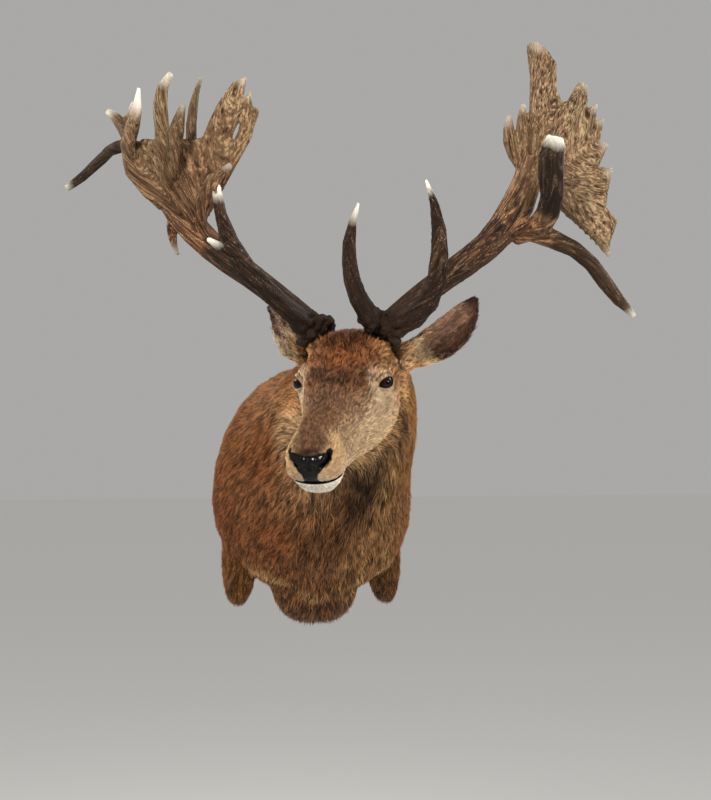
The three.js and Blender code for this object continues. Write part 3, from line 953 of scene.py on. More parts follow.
def highest_near(values, ends, rounds):
    """The largest value that any point has within some rounds of edges of each point."""
    highest = values.copy()
    for _ in range(rounds):
        reach = highest.copy()
        np.maximum.at(reach, ends[:, 0], highest[ends[:, 1]])
        np.maximum.at(reach, ends[:, 1], highest[ends[:, 0]])
        highest = reach
    return highest


SQUARE = np.array([(0, 1), (1, 2), (2, 3), (3, 0)])
print("round a square of edges:", distance_over(net_of(np.eye(4), SQUARE), [0]).round(2))

# %% [markdown]
# Grooves need coordinates that stay the same along a limb and change across it, however it bends.
# They are carried outwards from the burr: each point takes its neighbours' coordinates and adds only
# the sideways part of the step between them. Noise on these coordinates makes long flutes that fan
# out over the palms, at any fineness.

# %% Coordinates along the growth
GRAIN_DRIFT = 0.04


def carried_grain(places, net, far, way):
    """Coordinates in metres that run across the growth, with a slow drift along it."""
    first, partner, _ = net
    spots = places.tolist()
    ways = way.tolist()
    rank = far.tolist()
    grain = places.tolist()
    for at in np.argsort(far).tolist():
        x, y, z = spots[at]
        wx, wy, wz = ways[at]
        total = sx = sy = sz = 0.0
        for k in range(first[at], first[at + 1]):
            other = partner[k]
            if rank[other] >= rank[at]:
                continue
            dx, dy, dz = x - spots[other][0], y - spots[other][1], z - spots[other][2]
            run = dx * wx + dy * wy + dz * wz
            weight = (run * run / (dx * dx + dy * dy + dz * dz + 1e-12)) ** 2 + 0.02
            gx, gy, gz = grain[other]
            sx += weight * (gx + dx - run * wx)
            sy += weight * (gy + dy - run * wy)
            sz += weight * (gz + dz - run * wz)
            total += weight
        if total:
            grain[at] = (sx / total, sy / total, sz / total)
    return np.array(grain) + GRAIN_DRIFT * far[:, None]


print("drift of the grain:", GRAIN_DRIFT, "of the way grown")

# %% Relief of an antler
BURR_AT = (58, -75, 62)  # in the head's frame, on its left side


def relief_of(places, grain, far):
    """Long flutes and broad folds along the growth, and pearls, each around or above 0."""
    flutes = ripple(grain, 0.0075, 1) + 0.6 * ripple(grain, 0.0042, 2)
    folds_wide = ripple(grain, 0.021, 3)
    pearls = np.clip(ripple(places, 0.0062, 4), 0, 1) ** 1.5
    pearls += 0.6 * np.clip(ripple(places, 0.0035, 5), 0, 1)
    pearls *= 1.3 * (1 - rise(far, 0.25, 0.6)) * rise(ripple(grain, 0.03, 6), -0.2, 0.3)
    return flutes, folds_wide, pearls


def burr_lumps(places, from_burr):
    """The rough ring at the root of an antler, in millimetres."""
    lumps = 3.0 + 8 * np.clip(ripple(places, 0.012, 7), -0.3, 1) + 3 * ripple(places, 0.006, 8)
    return lumps * (1 - rise(from_burr, 0.038, 0.066))


print("left burr at", from_head(BURR_AT).round(3), "m")

# %% Antlers
ANTLER_VOXEL = 0.0023
TIP_ROUNDS = 20
# Each part's share of dark stain, its share of ivory at the tip and the ivory's length in metres.
ANTLER_PARTS = {
    "left": {"beam": (0.62, 0.2, 0.03), "crown": (0, 0.35, 0.03), "brow": (0.9, 1, 0.045),
             "bez": (0.9, 1, 0.035), "trez": (1, 1, 0.038), "drop": (0.8, 0.55, 0.03)},
    "right": {"beam": (0.7, 0.2, 0.03), "crown": (0, 0.3, 0.03), "brow": (0.9, 1, 0.035),
              "crown_a": (0.1, 1, 0.065), "crown_b": (0, 0.6, 0.04), "crown_c": (0.2, 0.3, 0.03),
              "crown_d": (0.3, 0.3, 0.03), "drop": (0.85, 0.6, 0.03), "back": (0.3, 0.6, 0.04)},
}
antlers = []
for side, parts in ANTLER_PARTS.items():
    names = [f"antler_{side}_{part}" for part in parts]
    antler = joined_copy(f"antler_{side}", names)
    remesh(antler, ANTLER_VOXEL)
    drop_crumbs(antler)
    places = points_of(antler.data)
    ends = edges_of(antler.data)
    places = melt(spread(places, ends, 3), ends, 30)
    move_points(antler.data, places)

    burr = from_head(np.array(BURR_AT) * (1 if side == "left" else -1, 1, 1))
    from_burr = np.linalg.norm(places - burr, axis=1)
    web = with_diagonals(antler.data, ends)
    net = net_of(places, web)
    far = distance_over(net, np.flatnonzero(from_burr < 0.045))
    way = growth(places, web, spread(far, web, 24))
    grain = spread(carried_grain(places, net, far, way), web, 2)
    even_far = spread(far, ends, 2)
    is_tip = (highest_near(even_far, ends, TIP_ROUNDS) == even_far) & (far > 0.1)
    to_tip = distance_over(net, np.flatnonzero(is_tip))
    tones = np.array(list(parts.values()))[nearest_part(places, names)]
    dark, ivory, ivory_length = spread(tones, ends, 16).T

    normals = unit(spread(points_of(antler.data, "normal"), ends, 2))
    alive = rise(to_tip, 0.008, 0.06)
    flutes, folds_wide, pearls = relief_of(places, grain, far)
    swell = alive * (flutes + 2.0 * rise(far, 0.35, 0.6) * folds_wide + pearls)
    blunt = rise(dark, 0.90, 0.98) * (1 - rise(to_tip, 0.025, 0.05))
    swell += 3.5 * blunt * ripple(places, 0.011, 9) + burr_lumps(places, from_burr)
    move_points(antler.data, melt(places + normals * swell[:, None] * MM, ends, 4))
    antler.data.shade_smooth()
    for name, values in (
        ("grain", grain),
        ("far", far),
        ("worn", to_tip / ivory_length),
        ("dark", dark),
        ("ivory", ivory),
        ("relief", flutes + folds_wide),
    ):
        attribute(antler.data, name, values)
    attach(antler, "root")
    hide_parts(*names)
    antlers.append(antler)
    print(antler.name, len(places), "points, reach", round(float(far.max()), 2), "m")

# %% [markdown]
# ## Bare skin of the nose, the lids and the lips
#
# Some skin has no hair: the wet black pad of the nose, the pits of the nostrils, the rims of the lids,
# the tear slit and the line of the mouth. Each is a mask, a number from 0 to 1 at every point of the
# skin, found from the head frame. The masks steer the finish, and no tuft may root where they are set.
# The pits of the nostrils, the tear slits and the line of the mouth are painted near black, as
# painted shade of these recesses over their dark skin.

# %% Masks of bare skin
NOSE_UP = (-52, -40, -27, -17, -8, 5, 14, 20)
NOSE_HALF = (18, 13, 16, 26, 39, 42, 37, 30)
NOSE_TOP = 7.5
NOSE_TOP_SLOPE = 0.13
TEAR = [(76, 24, 4), (71, 36, 1), (67, 47, -3), (63, 56, -8)]


def bare_masks(places):
    """How much of nose pad, dark pit and lid rim there is at each place."""
    spots = mirrored(in_head(places))
    side, ahead, up = spots.T
    half = np.interp(up, NOSE_UP, NOSE_HALF)
    inside = np.minimum(half - side, NOSE_TOP + NOSE_TOP_SLOPE * side - up)
    inside += 1.2 * ripple(places, 0.005, 41)
    nose = rise(inside, -1.0, 1.5) * rise(ahead, 222, 230) * rise(up, -51, -48)
    pit = 1 - rise(far_from_line(spots, NOSTRIL), 5.0, 8.0)
    gap = np.abs(off_mouth(spots)) - 3.2 * bell(side, 0, 28)
    lips = (1 - rise(gap, 3.2, 4.8)) * rise(ahead, 184, 192)
    slit = 1 - rise(far_from_line(spots, TEAR), 1.5, 4.0)
    rim = np.zeros(len(places))
    for eye in eyes.values():
        near = np.linalg.norm(places - eye.middle, axis=1) / MM < EYE_RADIUS + 7
        rim = np.maximum(rim, (1 - rise(off_opening(eye, places)[0], 0.9, 2.6)) * near)
    return nose, pit, np.maximum(lips, 0.8 * slit), rim


nose, pit, lips, rim = bare_masks(points_of(skin.data))
for name, mask in (("nose", nose), ("nostrils", pit), ("mouth and tear slits", lips), ("lid rims", rim)):
    print("points of the", name + ":", int((mask > 0.5).sum()))

# %% [markdown]
# ## Markings
#
# A red stag is foxy brown on the trunk, darker and greyer on the neck, with a blackish mane under the
# throat, a pale chin, pale rings round the eyes and a rufous, curly forehead. A painted image would
# fit one unwrap only. Here the colours are a table of spots again: a broad ground that blends from
# guide to guide, and over it patches, each a line with a reach and a strength. Some patches are
# painted light: painted highlights on the folds of the brisket and the cords of the neck, and painted
# shade in the hollows of the neck and the armpits and under the trunk. Skin and coat ask the
# same function, so they agree everywhere.

# %% Ground colours


def paint(code):
    """A colour code of the table as linear red, green and blue."""
    parts = np.array([int(code[i : i + 2], 16) / 255 for i in (0, 2, 4)])
    return np.where(parts <= 0.04045, parts / 12.92, ((parts + 0.055) / 1.055) ** 2.4)


# Ground of the head: spots of the head frame, used on both sides.
HEAD_GROUND = [
    ((0, 225, 30), "5b4130"),
    ((40, 222, -20), "bd9a72"),
    ((0, 235, -75), "d8cdb8"),
    ((0, 170, 36), "765238"),
    ((0, 110, 42), "775640"),
    ((48, 150, -30), "a98c68"),
    ((60, 100, -50), "ac906f"),
    ((76, 40, -50), "bb9f7c"),
    ((76, 25, -100), "c4a780"),
    ((0, 60, 48), "6f4a32"),
    ((35, 50, 52), "6b462e"),
    ((0, 10, 66), "804a28"),
    ((50, 0, 62), "7e4e2f"),
    ((0, -45, 76), "623a20"),
    ((95, -40, 20), "ab7d52"),
    ((92, -60, -60), "97693f"),
    ((80, -10, -120), "9c7850"),
    ((0, 60, -130), "8a6a48"),
]
# Ground of the body: spots in millimetres of the mount.
BODY_GROUND = [
    ((60, -420, 310), "704629"),
    ((-60, -380, 250), "7d4d29"),
    ((160, -430, 160), "8a6038"),
    ((175, -380, 40), "7c5531"),
    ((-100, -370, 60), "7f4c28"),
    ((60, -445, -30), "6b4a30"),
    ((0, -420, -110), "714a2b"),
    ((-100, -360, -120), "7c4b2a"),
    ((130, -370, -120), "7c5835"),
    ((0, -330, -230), "6f4a2e"),
    ((-205, -220, 60), "80502c"),
    ((205, -220, 60), "80512d"),
    ((-200, -240, -100), "7c4a29"),
    ((200, -240, -100), "7a4f2c"),
    ((0, -150, 250), "7a4c28"),
    ((160, -210, -225), "75512f"),
    ((-160, -210, -225), "7d542e"),
    ((0, -60, -260), "7d5a3a"),
]
GROUND_REACH = 0.045

ground = [(np.array(spot) * MM, paint(code)) for spot, code in BODY_GROUND]
for (side, ahead, up), code in HEAD_GROUND:
    for mirror in (1, -1) if side else (1,):
        ground.append((from_head((mirror * side, ahead, up)), paint(code)))
print("ground spots:", len(ground))

# %% Patches over the ground
# Lines of the head frame: points, reach in millimetres, strength, colour; used on both sides.
HEAD_PATCHES = [
    ([(0, 232, 24), (0, 212, 34)], 17, 0.75, "66452f"),  # dark saddle above the nose pad
    ([(0, 251, 11), (18, 250, 11)], 7.5, 0.9, "2c1a12"),
    ([(24, 228, 22), (30, 215, 24)], 12, 0.5, "54391f"),
    ([(40, 206, 22), (46, 210, 4), (50, 206, -18)], 15, 0.75, "caa877"),  # ochre beside the nose
    ([(38, 250, -22), (46, 236, -30)], 12, 0.7, "bf9b74"),  # upper lip
    ([(0, 255, -54), (24, 252, -56), (42, 240, -57), (50, 222, -62)], 8, 1.0, "efe8db"),  # pale lower lip
    ([(0, 240, -74), (22, 238, -72), (38, 230, -68)], 15, 0.95, "e9e2d4"),  # chin
    ([(58, 200, -62), (60, 175, -66)], 10, 0.5, "cdbb9c"),  # corner of the mouth
    ([(0, 70, 46), (22, 62, 46), (44, 44, 44), (58, 26, 44)], 9, 0.85, "3f2a1c"),  # frown band
    ([(0, 150, 40), (0, 110, 44)], 16, 0.35, "5f4330"),  # darker bridge
    ([(60, 84, 8), (52, 120, 4)], 14, 0.45, "6d4a33"),  # side of the bridge
    ([(62, 62, -2), (54, 84, -6)], 8, 0.35, "8a6a4a"),
    ([(75, 27, 3), (67, 46, -4)], 5, 0.8, "45301f"),  # round the tear slit
    ([(70, 40, 22), (84, 20, 26), (93, -4, 22)], 7, 0.5, "d8bb90"),  # pale fold over the eye
    ([(80, 30, -12), (90, 6, -17), (94, -16, -8)], 8, 0.85, "d9c3a0"),  # pale under the eye
    ([(97, -18, 4), (98, -24, 16)], 7, 0.7, "cfae82"),  # behind the eye
    ([(78, 52, -30), (70, 90, -40), (62, 120, -50)], 20, 0.45, "c3ab88"),  # pale cheek
    ([(74, 20, -105), (66, 60, -108), (56, 100, -98)], 20, 0.6, "c8aa82"),  # warm edge of the jaw
    ([(0, 24, 62), (26, 16, 64)], 14, 0.4, "a5683a"),  # rufous front of the forehead
    ([(46, 34, 54)], 10, 0.6, "c8944f"),
    ([(0, -52, 84), (36, -40, 76)], 16, 0.75, "341f13"),  # dark tuft between the burrs
    ([(70, -24, 56), (84, -34, 44)], 12, 0.55, "8a4d22"),
    ([(100, -72, 0), (100, -92, -24)], 13, 0.6, "ccb188"),  # pale root of the ear
]
# Lines of the mount in millimetres, on one side as the stag wears them.
BODY_PATCHES = [
    ([(146, -476, 190), (152, -470, 168)], 16, 0.5, "c8a468"),
    ([(142, -466, 141), (150, -446, 111), (142, -446, 91)], 16, 0.8, "1e130d"),  # dark streak of the neck
    ([(40, -464, 24), (72, -451, 4), (112, -443, 32)], 17, 0.85, "1a110b"),  # dark throat
    ([(72, -451, 4), (93, -439, -7), (63, -443, -26)], 17, 0.85, "1c120c"),
    ([(63, -443, -40), (22, -421, -86), (-11, -396, -128), (-47, -360, -161)], 20, 0.45, "452e1e"),
    ([(132, -446, 72), (125, -427, 12), (106, -422, -28)], 12, 0.55, "a98458"),  # pale edge of the mane
    ([(56, -460, 24), (90, -458, 49), (125, -452, 80)], 15, 0.55, "241710"),  # shade under the jaw
    # Painted shade in the hollow between the cords of the neck.
    ([(-23, -415, -86), (-14, -392, -128)], 13, 0.4, "38251a"),  # between the cords of the neck
    ([(109, -375, -103), (93, -344, -154), (71, -327, -184)], 10, 0.45, "9a7446"),
    ([(154, -420, 20), (140, -415, -60)], 24, 0.4, "a17a4c"),
    # Cord behind the jaw and cord from the neck to the brisket, lightened as painted highlight, and the
    # groove beside them darkened as painted shade.
    ([(127, -452, 80), (129, -440, 52), (129, -428, 20), (127, -417, -9)], 7, 0.6, "b08a58"),
    ([(118, -409, -39), (86, -395, -99), (53, -371, -151), (36, -317, -207)], 14, 0.5, "a07a4e"),
    ([(57, -440, -36), (44, -421, -83), (22, -391, -133), (9, -335, -194)], 10, 0.5, "2f2015"),
    # Folds of the brisket and over the stumps, lightened as painted highlight.
    ([(96, -315, -182), (81, -274, -215), (61, -278, -239)], 8, 0.7, "b8945f"),
    ([(-116, -293, -177), (-92, -301, -191), (-65, -300, -203), (-38, -311, -217), (-8, -306, -236)],
     7, 0.7, "b8915f"),
    ([(134, -335, -125), (146, -275, -166)], 9, 0.5, "b8945f"),
    ([(-41, -308, -217), (0, -306, -238), (62, -301, -209), (98, -344, -154)], 9, 0.4, "a98455"),
    ([(-185, -235, -155), (-150, -262, -172), (-110, -283, -188), (-70, -300, -186)], 11, 0.8, "b08c5e"),
    ([(130, -278, -178), (160, -255, -168), (190, -220, -155)], 11, 0.7, "b08c5e"),
    ([(-205, -150, -120), (-200, -170, -40)], 30, 0.35, "5f3b20"),
    ([(0, -330, -150), (-60, -340, -120)], 26, 0.3, "5c3a22"),
    # Painted shade in the hollows of the armpits.
    ([(-170, -225, -180), (-130, -250, -207), (-95, -270, -217)], 15, 0.65, "3a2617"),
    ([(180, -220, -187), (140, -255, -207)], 15, 0.65, "3a2617"),
    # Painted shade under the trunk and the brisket.
    ([(-165, -220, -300), (-150, -110, -300)], 80, 0.8, "2b1a10"),
    ([(165, -220, -300), (150, -110, -300)], 80, 0.8, "2b1a10"),
    ([(-50, -270, -320), (50, -270, -320)], 70, 0.7, "352213"),
]
EAR_OUTER = paint("6a4c34")
EAR_TIP = paint("35211a")
EAR_INNER = paint("7c5c4a")
EAR_FAWN = paint("96735a")
EAR_ROOT = paint("d2b88f")
# Lower edge of each ear's hollow: pale on the right ear, darkened on the left ear as painted shade.
EAR_LOWER_TONE_AND_SHADE = {"left": paint("553c2d"), "right": paint("c9b08c")}
EAR_LOWER_FROM = {"left": 12, "right": 23}  # millimetres below the ear's middle line
EYE_RING = paint("d2bb9a")
# Painted shade in the crease over the upper lid.
CREASE_SHADE = paint("36241a")
LID_SHADE = paint("8a6a50")

patches = []
for line, reach, strength, code in BODY_PATCHES:
    patches.append((np.array(line) * MM, reach * MM, strength, paint(code)))
for line, reach, strength, code in HEAD_PATCHES:
    for mirror in (1, -1):
        flipped = np.array([from_head((mirror * x, y, z)) for x, y, z in line])
        patches.append((flipped, reach * MM, strength, paint(code)))
print("patches:", len(patches))

# %% [markdown]
# The ears are coloured by what each point is: the back of the ear is brown and darkens to its tip,
# the hollow is pinkish and thinly haired, and its edges carry long pale hair. The lower edge of the
# left ear's hollow is darkened with painted shade.

# %% The ears' own axes


def mixed(first, second, share):
    """A colour between two, at each place."""
    return first + (second - first) * share[:, None]


EAR_AROUND = 0.16


class Ear:
    """An ear's root, tip and the way that its hollow looks."""

    def __init__(self, side):
        mesh = nodes[f"ear_{side}"].data
        places = points_of(mesh)
        spots = in_head(places)
        lean = 1 if side == "left" else -1
        self.root = places[np.argmin(lean * spots[:, 0] + spots[:, 2] * 0.3)]
        far = np.linalg.norm(places - self.root, axis=1)
        self.tip = places[np.argmax(far)]
        self.length = far.max()
        self.along = unit(self.tip - self.root)
        looks = np.array((0.35 * lean, 0.9, 0.15)) @ HEAD_AXES
        self.looks = unit(looks - (looks @ self.along) * self.along)
        self.across = -lean * np.cross(self.along, self.looks)
        self.middle = places.mean(axis=0)

    def spots(self, places):
        """How far along the ear each place lies, and how far above its middle line in millimetres."""
        along = (places - self.root) @ self.along / self.length
        return along, (places - self.middle) @ self.across / MM

    def near(self, places):
        """True for places no further off than the ear reaches."""
        return np.linalg.norm(places - self.middle, axis=1) < EAR_AROUND


ears = {"left": Ear("left"), "right": Ear("right")}
print("ears:", {side: f"{1000 * ear.length:.0f} mm" for side, ear in ears.items()})

# %% One function for all markings


def coat_colour(places, normals, ear_share):
    """The colour of the coat at each place: ground, patches with painted highlights and shade, rings of
    the eyes with painted shade over the upper lid, then the ears, the left with painted shade on its
    lower edge.
    """
    colour = np.zeros((len(places), 3))
    total = np.zeros(len(places))
    wander = np.column_stack([ripple(places, 0.03, seed) for seed in (11, 12, 13)]) * 0.006
    shifted = places + wander
    for spot, tone in ground:
        weight = 1 / (0.03 + (np.linalg.norm(shifted - spot, axis=1) / GROUND_REACH) ** 4)
        colour += weight[:, None] * tone
        total += weight
    colour /= total[:, None]
    for line, reach, strength, tone in patches:
        colour = mixed(colour, tone, strength * bell(far_from_line(shifted, line), 0, reach))
    for eye in eyes.values():
        over, outward = off_opening(eye, places)
        above = rise(outward @ eye.high, 0.2, 0.65)
        colour = mixed(colour, EYE_RING, 0.62 * bell(over, 8, 6.5))
        # Painted shade in the crease over the upper lid.
        colour = mixed(colour, CREASE_SHADE, 0.9 * above * bell(over, CREASE, 1.9))
        colour = mixed(colour, LID_SHADE, 0.6 * above * bell(over, 3.2, 1.6))
    for side, ear in ears.items():
        along, up = ear.spots(places)
        low = EAR_LOWER_FROM[side]
        outside = mixed(EAR_OUTER, EAR_TIP, rise(along, 0.6, 1.0))
        hollow = mixed(EAR_INNER, EAR_FAWN, rise(up + 8 * ripple(places, 0.012, 14), 0, 14))
        # On the left ear this lower band is painted shade.
        hollow = mixed(hollow, EAR_LOWER_TONE_AND_SHADE[side], rise(-up + 5 * ripple(places, 0.012, 15), low, low + 9))
        hollow = mixed(hollow, EAR_ROOT, 1 - rise(along, 0.14, 0.34))
        hollow = mixed(hollow, EAR_TIP, rise(along + 0.004 * np.abs(up), 0.80, 0.98))
        tone = mixed(outside, hollow, rise(normals @ ear.looks, -0.15, 0.25))
        colour = mixed(colour, tone, ear_share * ear.near(places) * rise(along, 0.0, 0.25))
    return colour


places = points_of(skin.data)
normals = unit(points_of(skin.data, "normal"))
ends = edges_of(skin.data)
ear_share = ear_share_of(places, ends)
skin_colour = coat_colour(places, normals, ear_share)
attribute(skin.data, "colour", skin_colour)
# The pit attribute holds the nostril pits, the mouth line and the tear slits, which the hide paints near
# black as painted shade.
for name, mask in (("nose", nose), ("pit", np.maximum(pit, lips)), ("rim", rim)):
    attribute(skin.data, name, mask)
print("mean colour of the skin:", skin_colour.mean(axis=0).round(3))

# %% [markdown]
# ## Finishes as sums
#
# A material is a net of nodes, and a net is hard to read as code. This small class wraps one socket,
# so that a sum of sockets adds the Math nodes it needs, and every other node comes from one method.

# %% Node helpers


class Value:
    """A number that changes over a surface; sums with it add Math nodes."""

    def __init__(self, finish, socket):
        self.finish = finish
        self.socket = socket

    def math(self, operation, first, second):
        """A Math node over two values or numbers."""
        return self.finish.add("ShaderNodeMath", {"operation": operation}, {0: first, 1: second})

    def __add__(self, other):
        return self.math("ADD", self, other)

    def __radd__(self, other):
        return self.math("ADD", other, self)

    def __sub__(self, other):
        return self.math("SUBTRACT", self, other)

    def __rsub__(self, other):
        return self.math("SUBTRACT", other, self)

    def __mul__(self, other):
        return self.math("MULTIPLY", self, other)

    def __rmul__(self, other):
        return self.math("MULTIPLY", other, self)

    def __pow__(self, other):
        return self.math("POWER", self, other)


class Finish:
    """One material and its nodes."""

    def __init__(self, name, **constants):
        self.material = bpy.data.materials.new(name)
        self.material.use_nodes = True
        self.tree = self.material.node_tree
        self.surface = self.tree.nodes["Principled BSDF"]
        for socket, value in constants.items():
            self.surface.inputs[socket.replace("_", " ")].default_value = value

    def add(self, kind, settings=None, inputs=None, output=0):
        """Adds a node: its settings first, then the values or links of its sockets."""
        node = self.tree.nodes.new(kind)
        for name, value in (settings or {}).items():
            setattr(node, name, value)
        for name, value in (inputs or {}).items():
            if isinstance(value, Value):
                self.tree.links.new(value.socket, node.inputs[name])
            else:
                node.inputs[name].default_value = value
        return Value(self, node.outputs[output])

    def stored(self, name, colour=False):
        """An attribute of the mesh."""
        output = "Color" if colour else "Fac"
        return self.add("ShaderNodeAttribute", {"attribute_name": name}, output=output)

    def place(self):
        """Object coordinates."""
        return self.add("ShaderNodeTexCoord", output="Object")

    def noise(self, scale, detail=3.0, rough=0.55, at=None):
        """Noise from 0 to 1 whose features measure about one part in scale of a metre."""
        inputs = {"Vector": at or self.place(), "Scale": scale, "Detail": detail, "Roughness": rough}
        return self.add("ShaderNodeTexNoise", {}, inputs)

    def between(self, value, low, high):
        """0 up to low, 1 from high."""
        inputs = {"Value": value, "From Min": low, "From Max": high}
        return self.add("ShaderNodeMapRange", {"clamp": True}, inputs)

    def blend(self, share, first, second):
        """A colour between two."""
        inputs = {0: share, 6: tint_of(first), 7: tint_of(second)}
        return self.add("ShaderNodeMix", {"data_type": "RGBA"}, inputs, 2)

    def scaled(self, colour, amount):
        """A colour times a number."""
        return self.add("ShaderNodeVectorMath", {"operation": "SCALE"}, {0: colour, 3: amount})

    def set(self, **links):
        """Feeds the surface."""
        for name, value in links.items():
            self.tree.links.new(value.socket, self.surface.inputs[name.replace("_", " ")])

    def bump(self, height, reach, strength=1.0):
        """Relief of the given reach in metres."""
        inputs = {"Height": height, "Distance": reach, "Strength": strength}
        self.set(Normal=self.add("ShaderNodeBump", {}, inputs))


def tint_of(colour):
    """A colour code as a socket's value; a linked colour stays as it is."""
    return (*paint(colour), 1) if isinstance(colour, str) else colour


print("a colour code as a socket's value:", np.round(tint_of("6a4c34"), 3))

# %% Hide
hide = Finish("hide", Roughness=0.8, Specular_IOR_Level=0.06, Coat_Roughness=0.09, Coat_IOR=1.5)
pores = hide.noise(900, 4, 0.6)
clumps = hide.noise(90, 3)
nose_here = hide.stored("nose")
rim_here = hide.stored("rim")
# The skin under the coat is painted darker than its markings on the whole, as painted shade of the coat
# over it, and mottled by pores and clumps.
hide_tone = hide.scaled(hide.stored("colour", colour=True), 0.35 + 0.55 * pores + 0.25 * clumps)
hide_tone = hide.blend(nose_here, hide_tone, hide.blend(hide.noise(160, 3), "040303", "100c0a"))
# Near black in the nostril pits, the mouth line and the tear slits: painted shade of these recesses over
# dark skin.
hide_tone = hide.blend(hide.stored("pit"), hide_tone, "040303")
hide_tone = hide.blend(rim_here, hide_tone, "0d0806")
cells = hide.add(
    "ShaderNodeTexVoronoi",
    {"feature": "DISTANCE_TO_EDGE"},
    {"Vector": hide.place(), "Scale": 430, "Randomness": 0.85},
)
pebbles = 0.35 * hide.between(cells, 0.0, 0.16) + 5.0 * hide.noise(95, 2)
hide.set(
    Base_Color=hide_tone,
    Roughness=0.82 - 0.35 * nose_here - 0.4 * rim_here,
    Coat_Weight=0.12 * nose_here + 0.15 * rim_here,
)
hide.bump(pores * (1 - nose_here) + pebbles * nose_here, 0.0011)
skin.data.materials.append(hide.material)
print("nodes of the hide:", len(hide.tree.nodes))

# %% Glass eye
PUPIL_LONG = 5.6
PUPIL_HIGH = 3.6

glass = Finish("glass eye", Roughness=0.05, Specular_IOR_Level=0.12)
iris_along = glass.stored("iris_along")
iris_up = glass.stored("iris_up")
from_pupil = ((iris_along * (1 / PUPIL_LONG)) ** 2 + (iris_up * (1 / PUPIL_HIGH)) ** 2) ** 0.5
from_middle = (iris_along**2 + iris_up**2) ** 0.5
iris = glass.blend(glass.between(glass.noise(700, 2, 0.5), 0.3, 0.7), "0e0603", "261208")
iris = glass.blend(glass.between(from_middle, 8.0, 10.5), iris, "060403")
glass.set(Base_Color=glass.blend(glass.between(from_pupil, 0.92, 1.08), "020202", iris))
for ball in glass_eyes:
    ball.data.materials.append(glass.material)
print("nodes of the glass eye:", len(glass.tree.nodes))

# %% [markdown]
# ## Antler finish
#
# Antler is stained dark brown by bark and soil, almost black at the burr and the lower tines, and
# rubbed pale on every ridge, on the palms and most of all on the tips, which shine like ivory.

# %% Antler finish nodes
bone = Finish("antler", Roughness=0.5, Specular_IOR_Level=0.12)
bone_grain = bone.add("ShaderNodeAttribute", {"attribute_name": "grain"}, output="Vector")
far_here = bone.stored("far")
worn = bone.stored("worn")
stain = bone.stored("dark")
ivory_here = bone.stored("ivory")
mottle = bone.noise(22, 3)
palm = bone.between(far_here + 0.2 * mottle, 0.44, 0.70) * (1 - 0.85 * stain)


def finer_on_palms(scale, times, detail):
    """Noise along the growth, made finer on the palms, where the growth fans out."""
    limb = bone.noise(scale, detail, 0.6, bone_grain)
    return limb + palm * (bone.noise(scale * times, detail, 0.6, bone_grain) - limb)


threads = finer_on_palms(520, 2.6, 2)
hairlines = finer_on_palms(1200, 2, 2)
bands = finer_on_palms(190, 2.6, 3)
specks = bone.noise(380, 2, 0.5)
relief = bone.stored("relief")
cuts = 0.7 * threads + 0.3 * hairlines + 0.02 * relief * (1 - 0.7 * palm) + 0.2 * (bands - 0.5)
ridge = bone.between(cuts, 0.51, 0.60)
groove = 1 - bone.between(cuts, 0.38, 0.47)
print("nodes of the antler so far:", len(bone.tree.nodes))

# %% Antler colours, from the bone outwards
wide = bone.blend(palm, "3a2618", "57412e")
wide = bone.blend(bone.between(bands, 0.38, 0.62), wide, bone.blend(palm, "50331f", "745b42"))
wide = bone.blend(stain * 0.9, wide, "160e0a")
shine = bone.blend(stain * 0.9, bone.blend(palm, "8c6446", "ae9472"), "3f2f22")
bone_tone = bone.blend(ridge * (0.75 - 0.3 * stain), wide, shine)
bone_tone = bone.blend(groove * 0.95, bone_tone, bone.blend(palm, "120a06", "22170e"))
moss = bone.between(mottle, 0.50, 0.62) * palm * (1 - groove)
bone_tone = bone.blend(moss * 0.15, bone_tone, "8f8560")
pearl_tops = bone.between(specks, 0.60, 0.68) * ridge * (1 - 0.6 * stain) * (1 - 0.85 * palm)
bone_tone = bone.blend(pearl_tops * 0.75, bone_tone, "dcc09a")
burr_dark = 1 - bone.between(far_here, 0.0, 0.16)
bone_tone = bone.blend(burr_dark * 0.85, bone_tone, bone.blend(specks, "0c0705", "33231a"))
ragged = worn + 0.8 * (mottle - 0.5) + 0.5 * (threads - 0.5)
tip = (1 - bone.between(ragged, 0.25, 1.0)) ** 1.2
bone_tone = bone.blend(tip * ivory_here, bone_tone, "e6dfd0")
bone.set(Base_Color=bone_tone, Roughness=0.72 - 0.24 * tip - 0.08 * ridge)
bone.bump(cuts + 0.12 * specks, 0.004)
for antler in antlers:
    antler.data.materials.append(bone.material)
print("nodes of the antler:", len(bone.tree.nodes))

# %% [markdown]
# ## The board
#
# The board behind the trunk is plain stained oak. Its solid is already right, so it only gets a
# finish: long grain from noise that is stretched upright, with pores and a satin varnish.

# %% Stained wood
wood = Finish("stained wood", Roughness=0.45)
stretched = wood.add("ShaderNodeMapping", {}, {"Vector": wood.place(), "Scale": (14, 14, 1.2)})
rings = wood.noise(5, 4, 0.6, stretched)
wood_pores = wood.noise(60, 2, 0.5, stretched)
figure = wood.add("ShaderNodeMath", {"operation": "FRACT"}, {0: rings * 9})
wood_tone = wood.blend(wood.between(figure, 0.0, 1.0), "2a180d", "4a2c17")
wood_tone = wood.blend(wood.between(wood_pores, 0.45, 0.7) * 0.5, wood_tone, "160c06")
wood.set(Base_Color=wood_tone, Roughness=0.4 + 0.2 * wood_pores)
wood.bump(wood_pores + 0.4 * figure, 0.0006, 0.6)
board = nodes["backboard"]
for slot in board.material_slots:
    slot.material = wood.material
if not board.material_slots:
    board.data.materials.append(wood.material)
print("finishes:", [f.material.name for f in (hide, glass, bone, wood)])

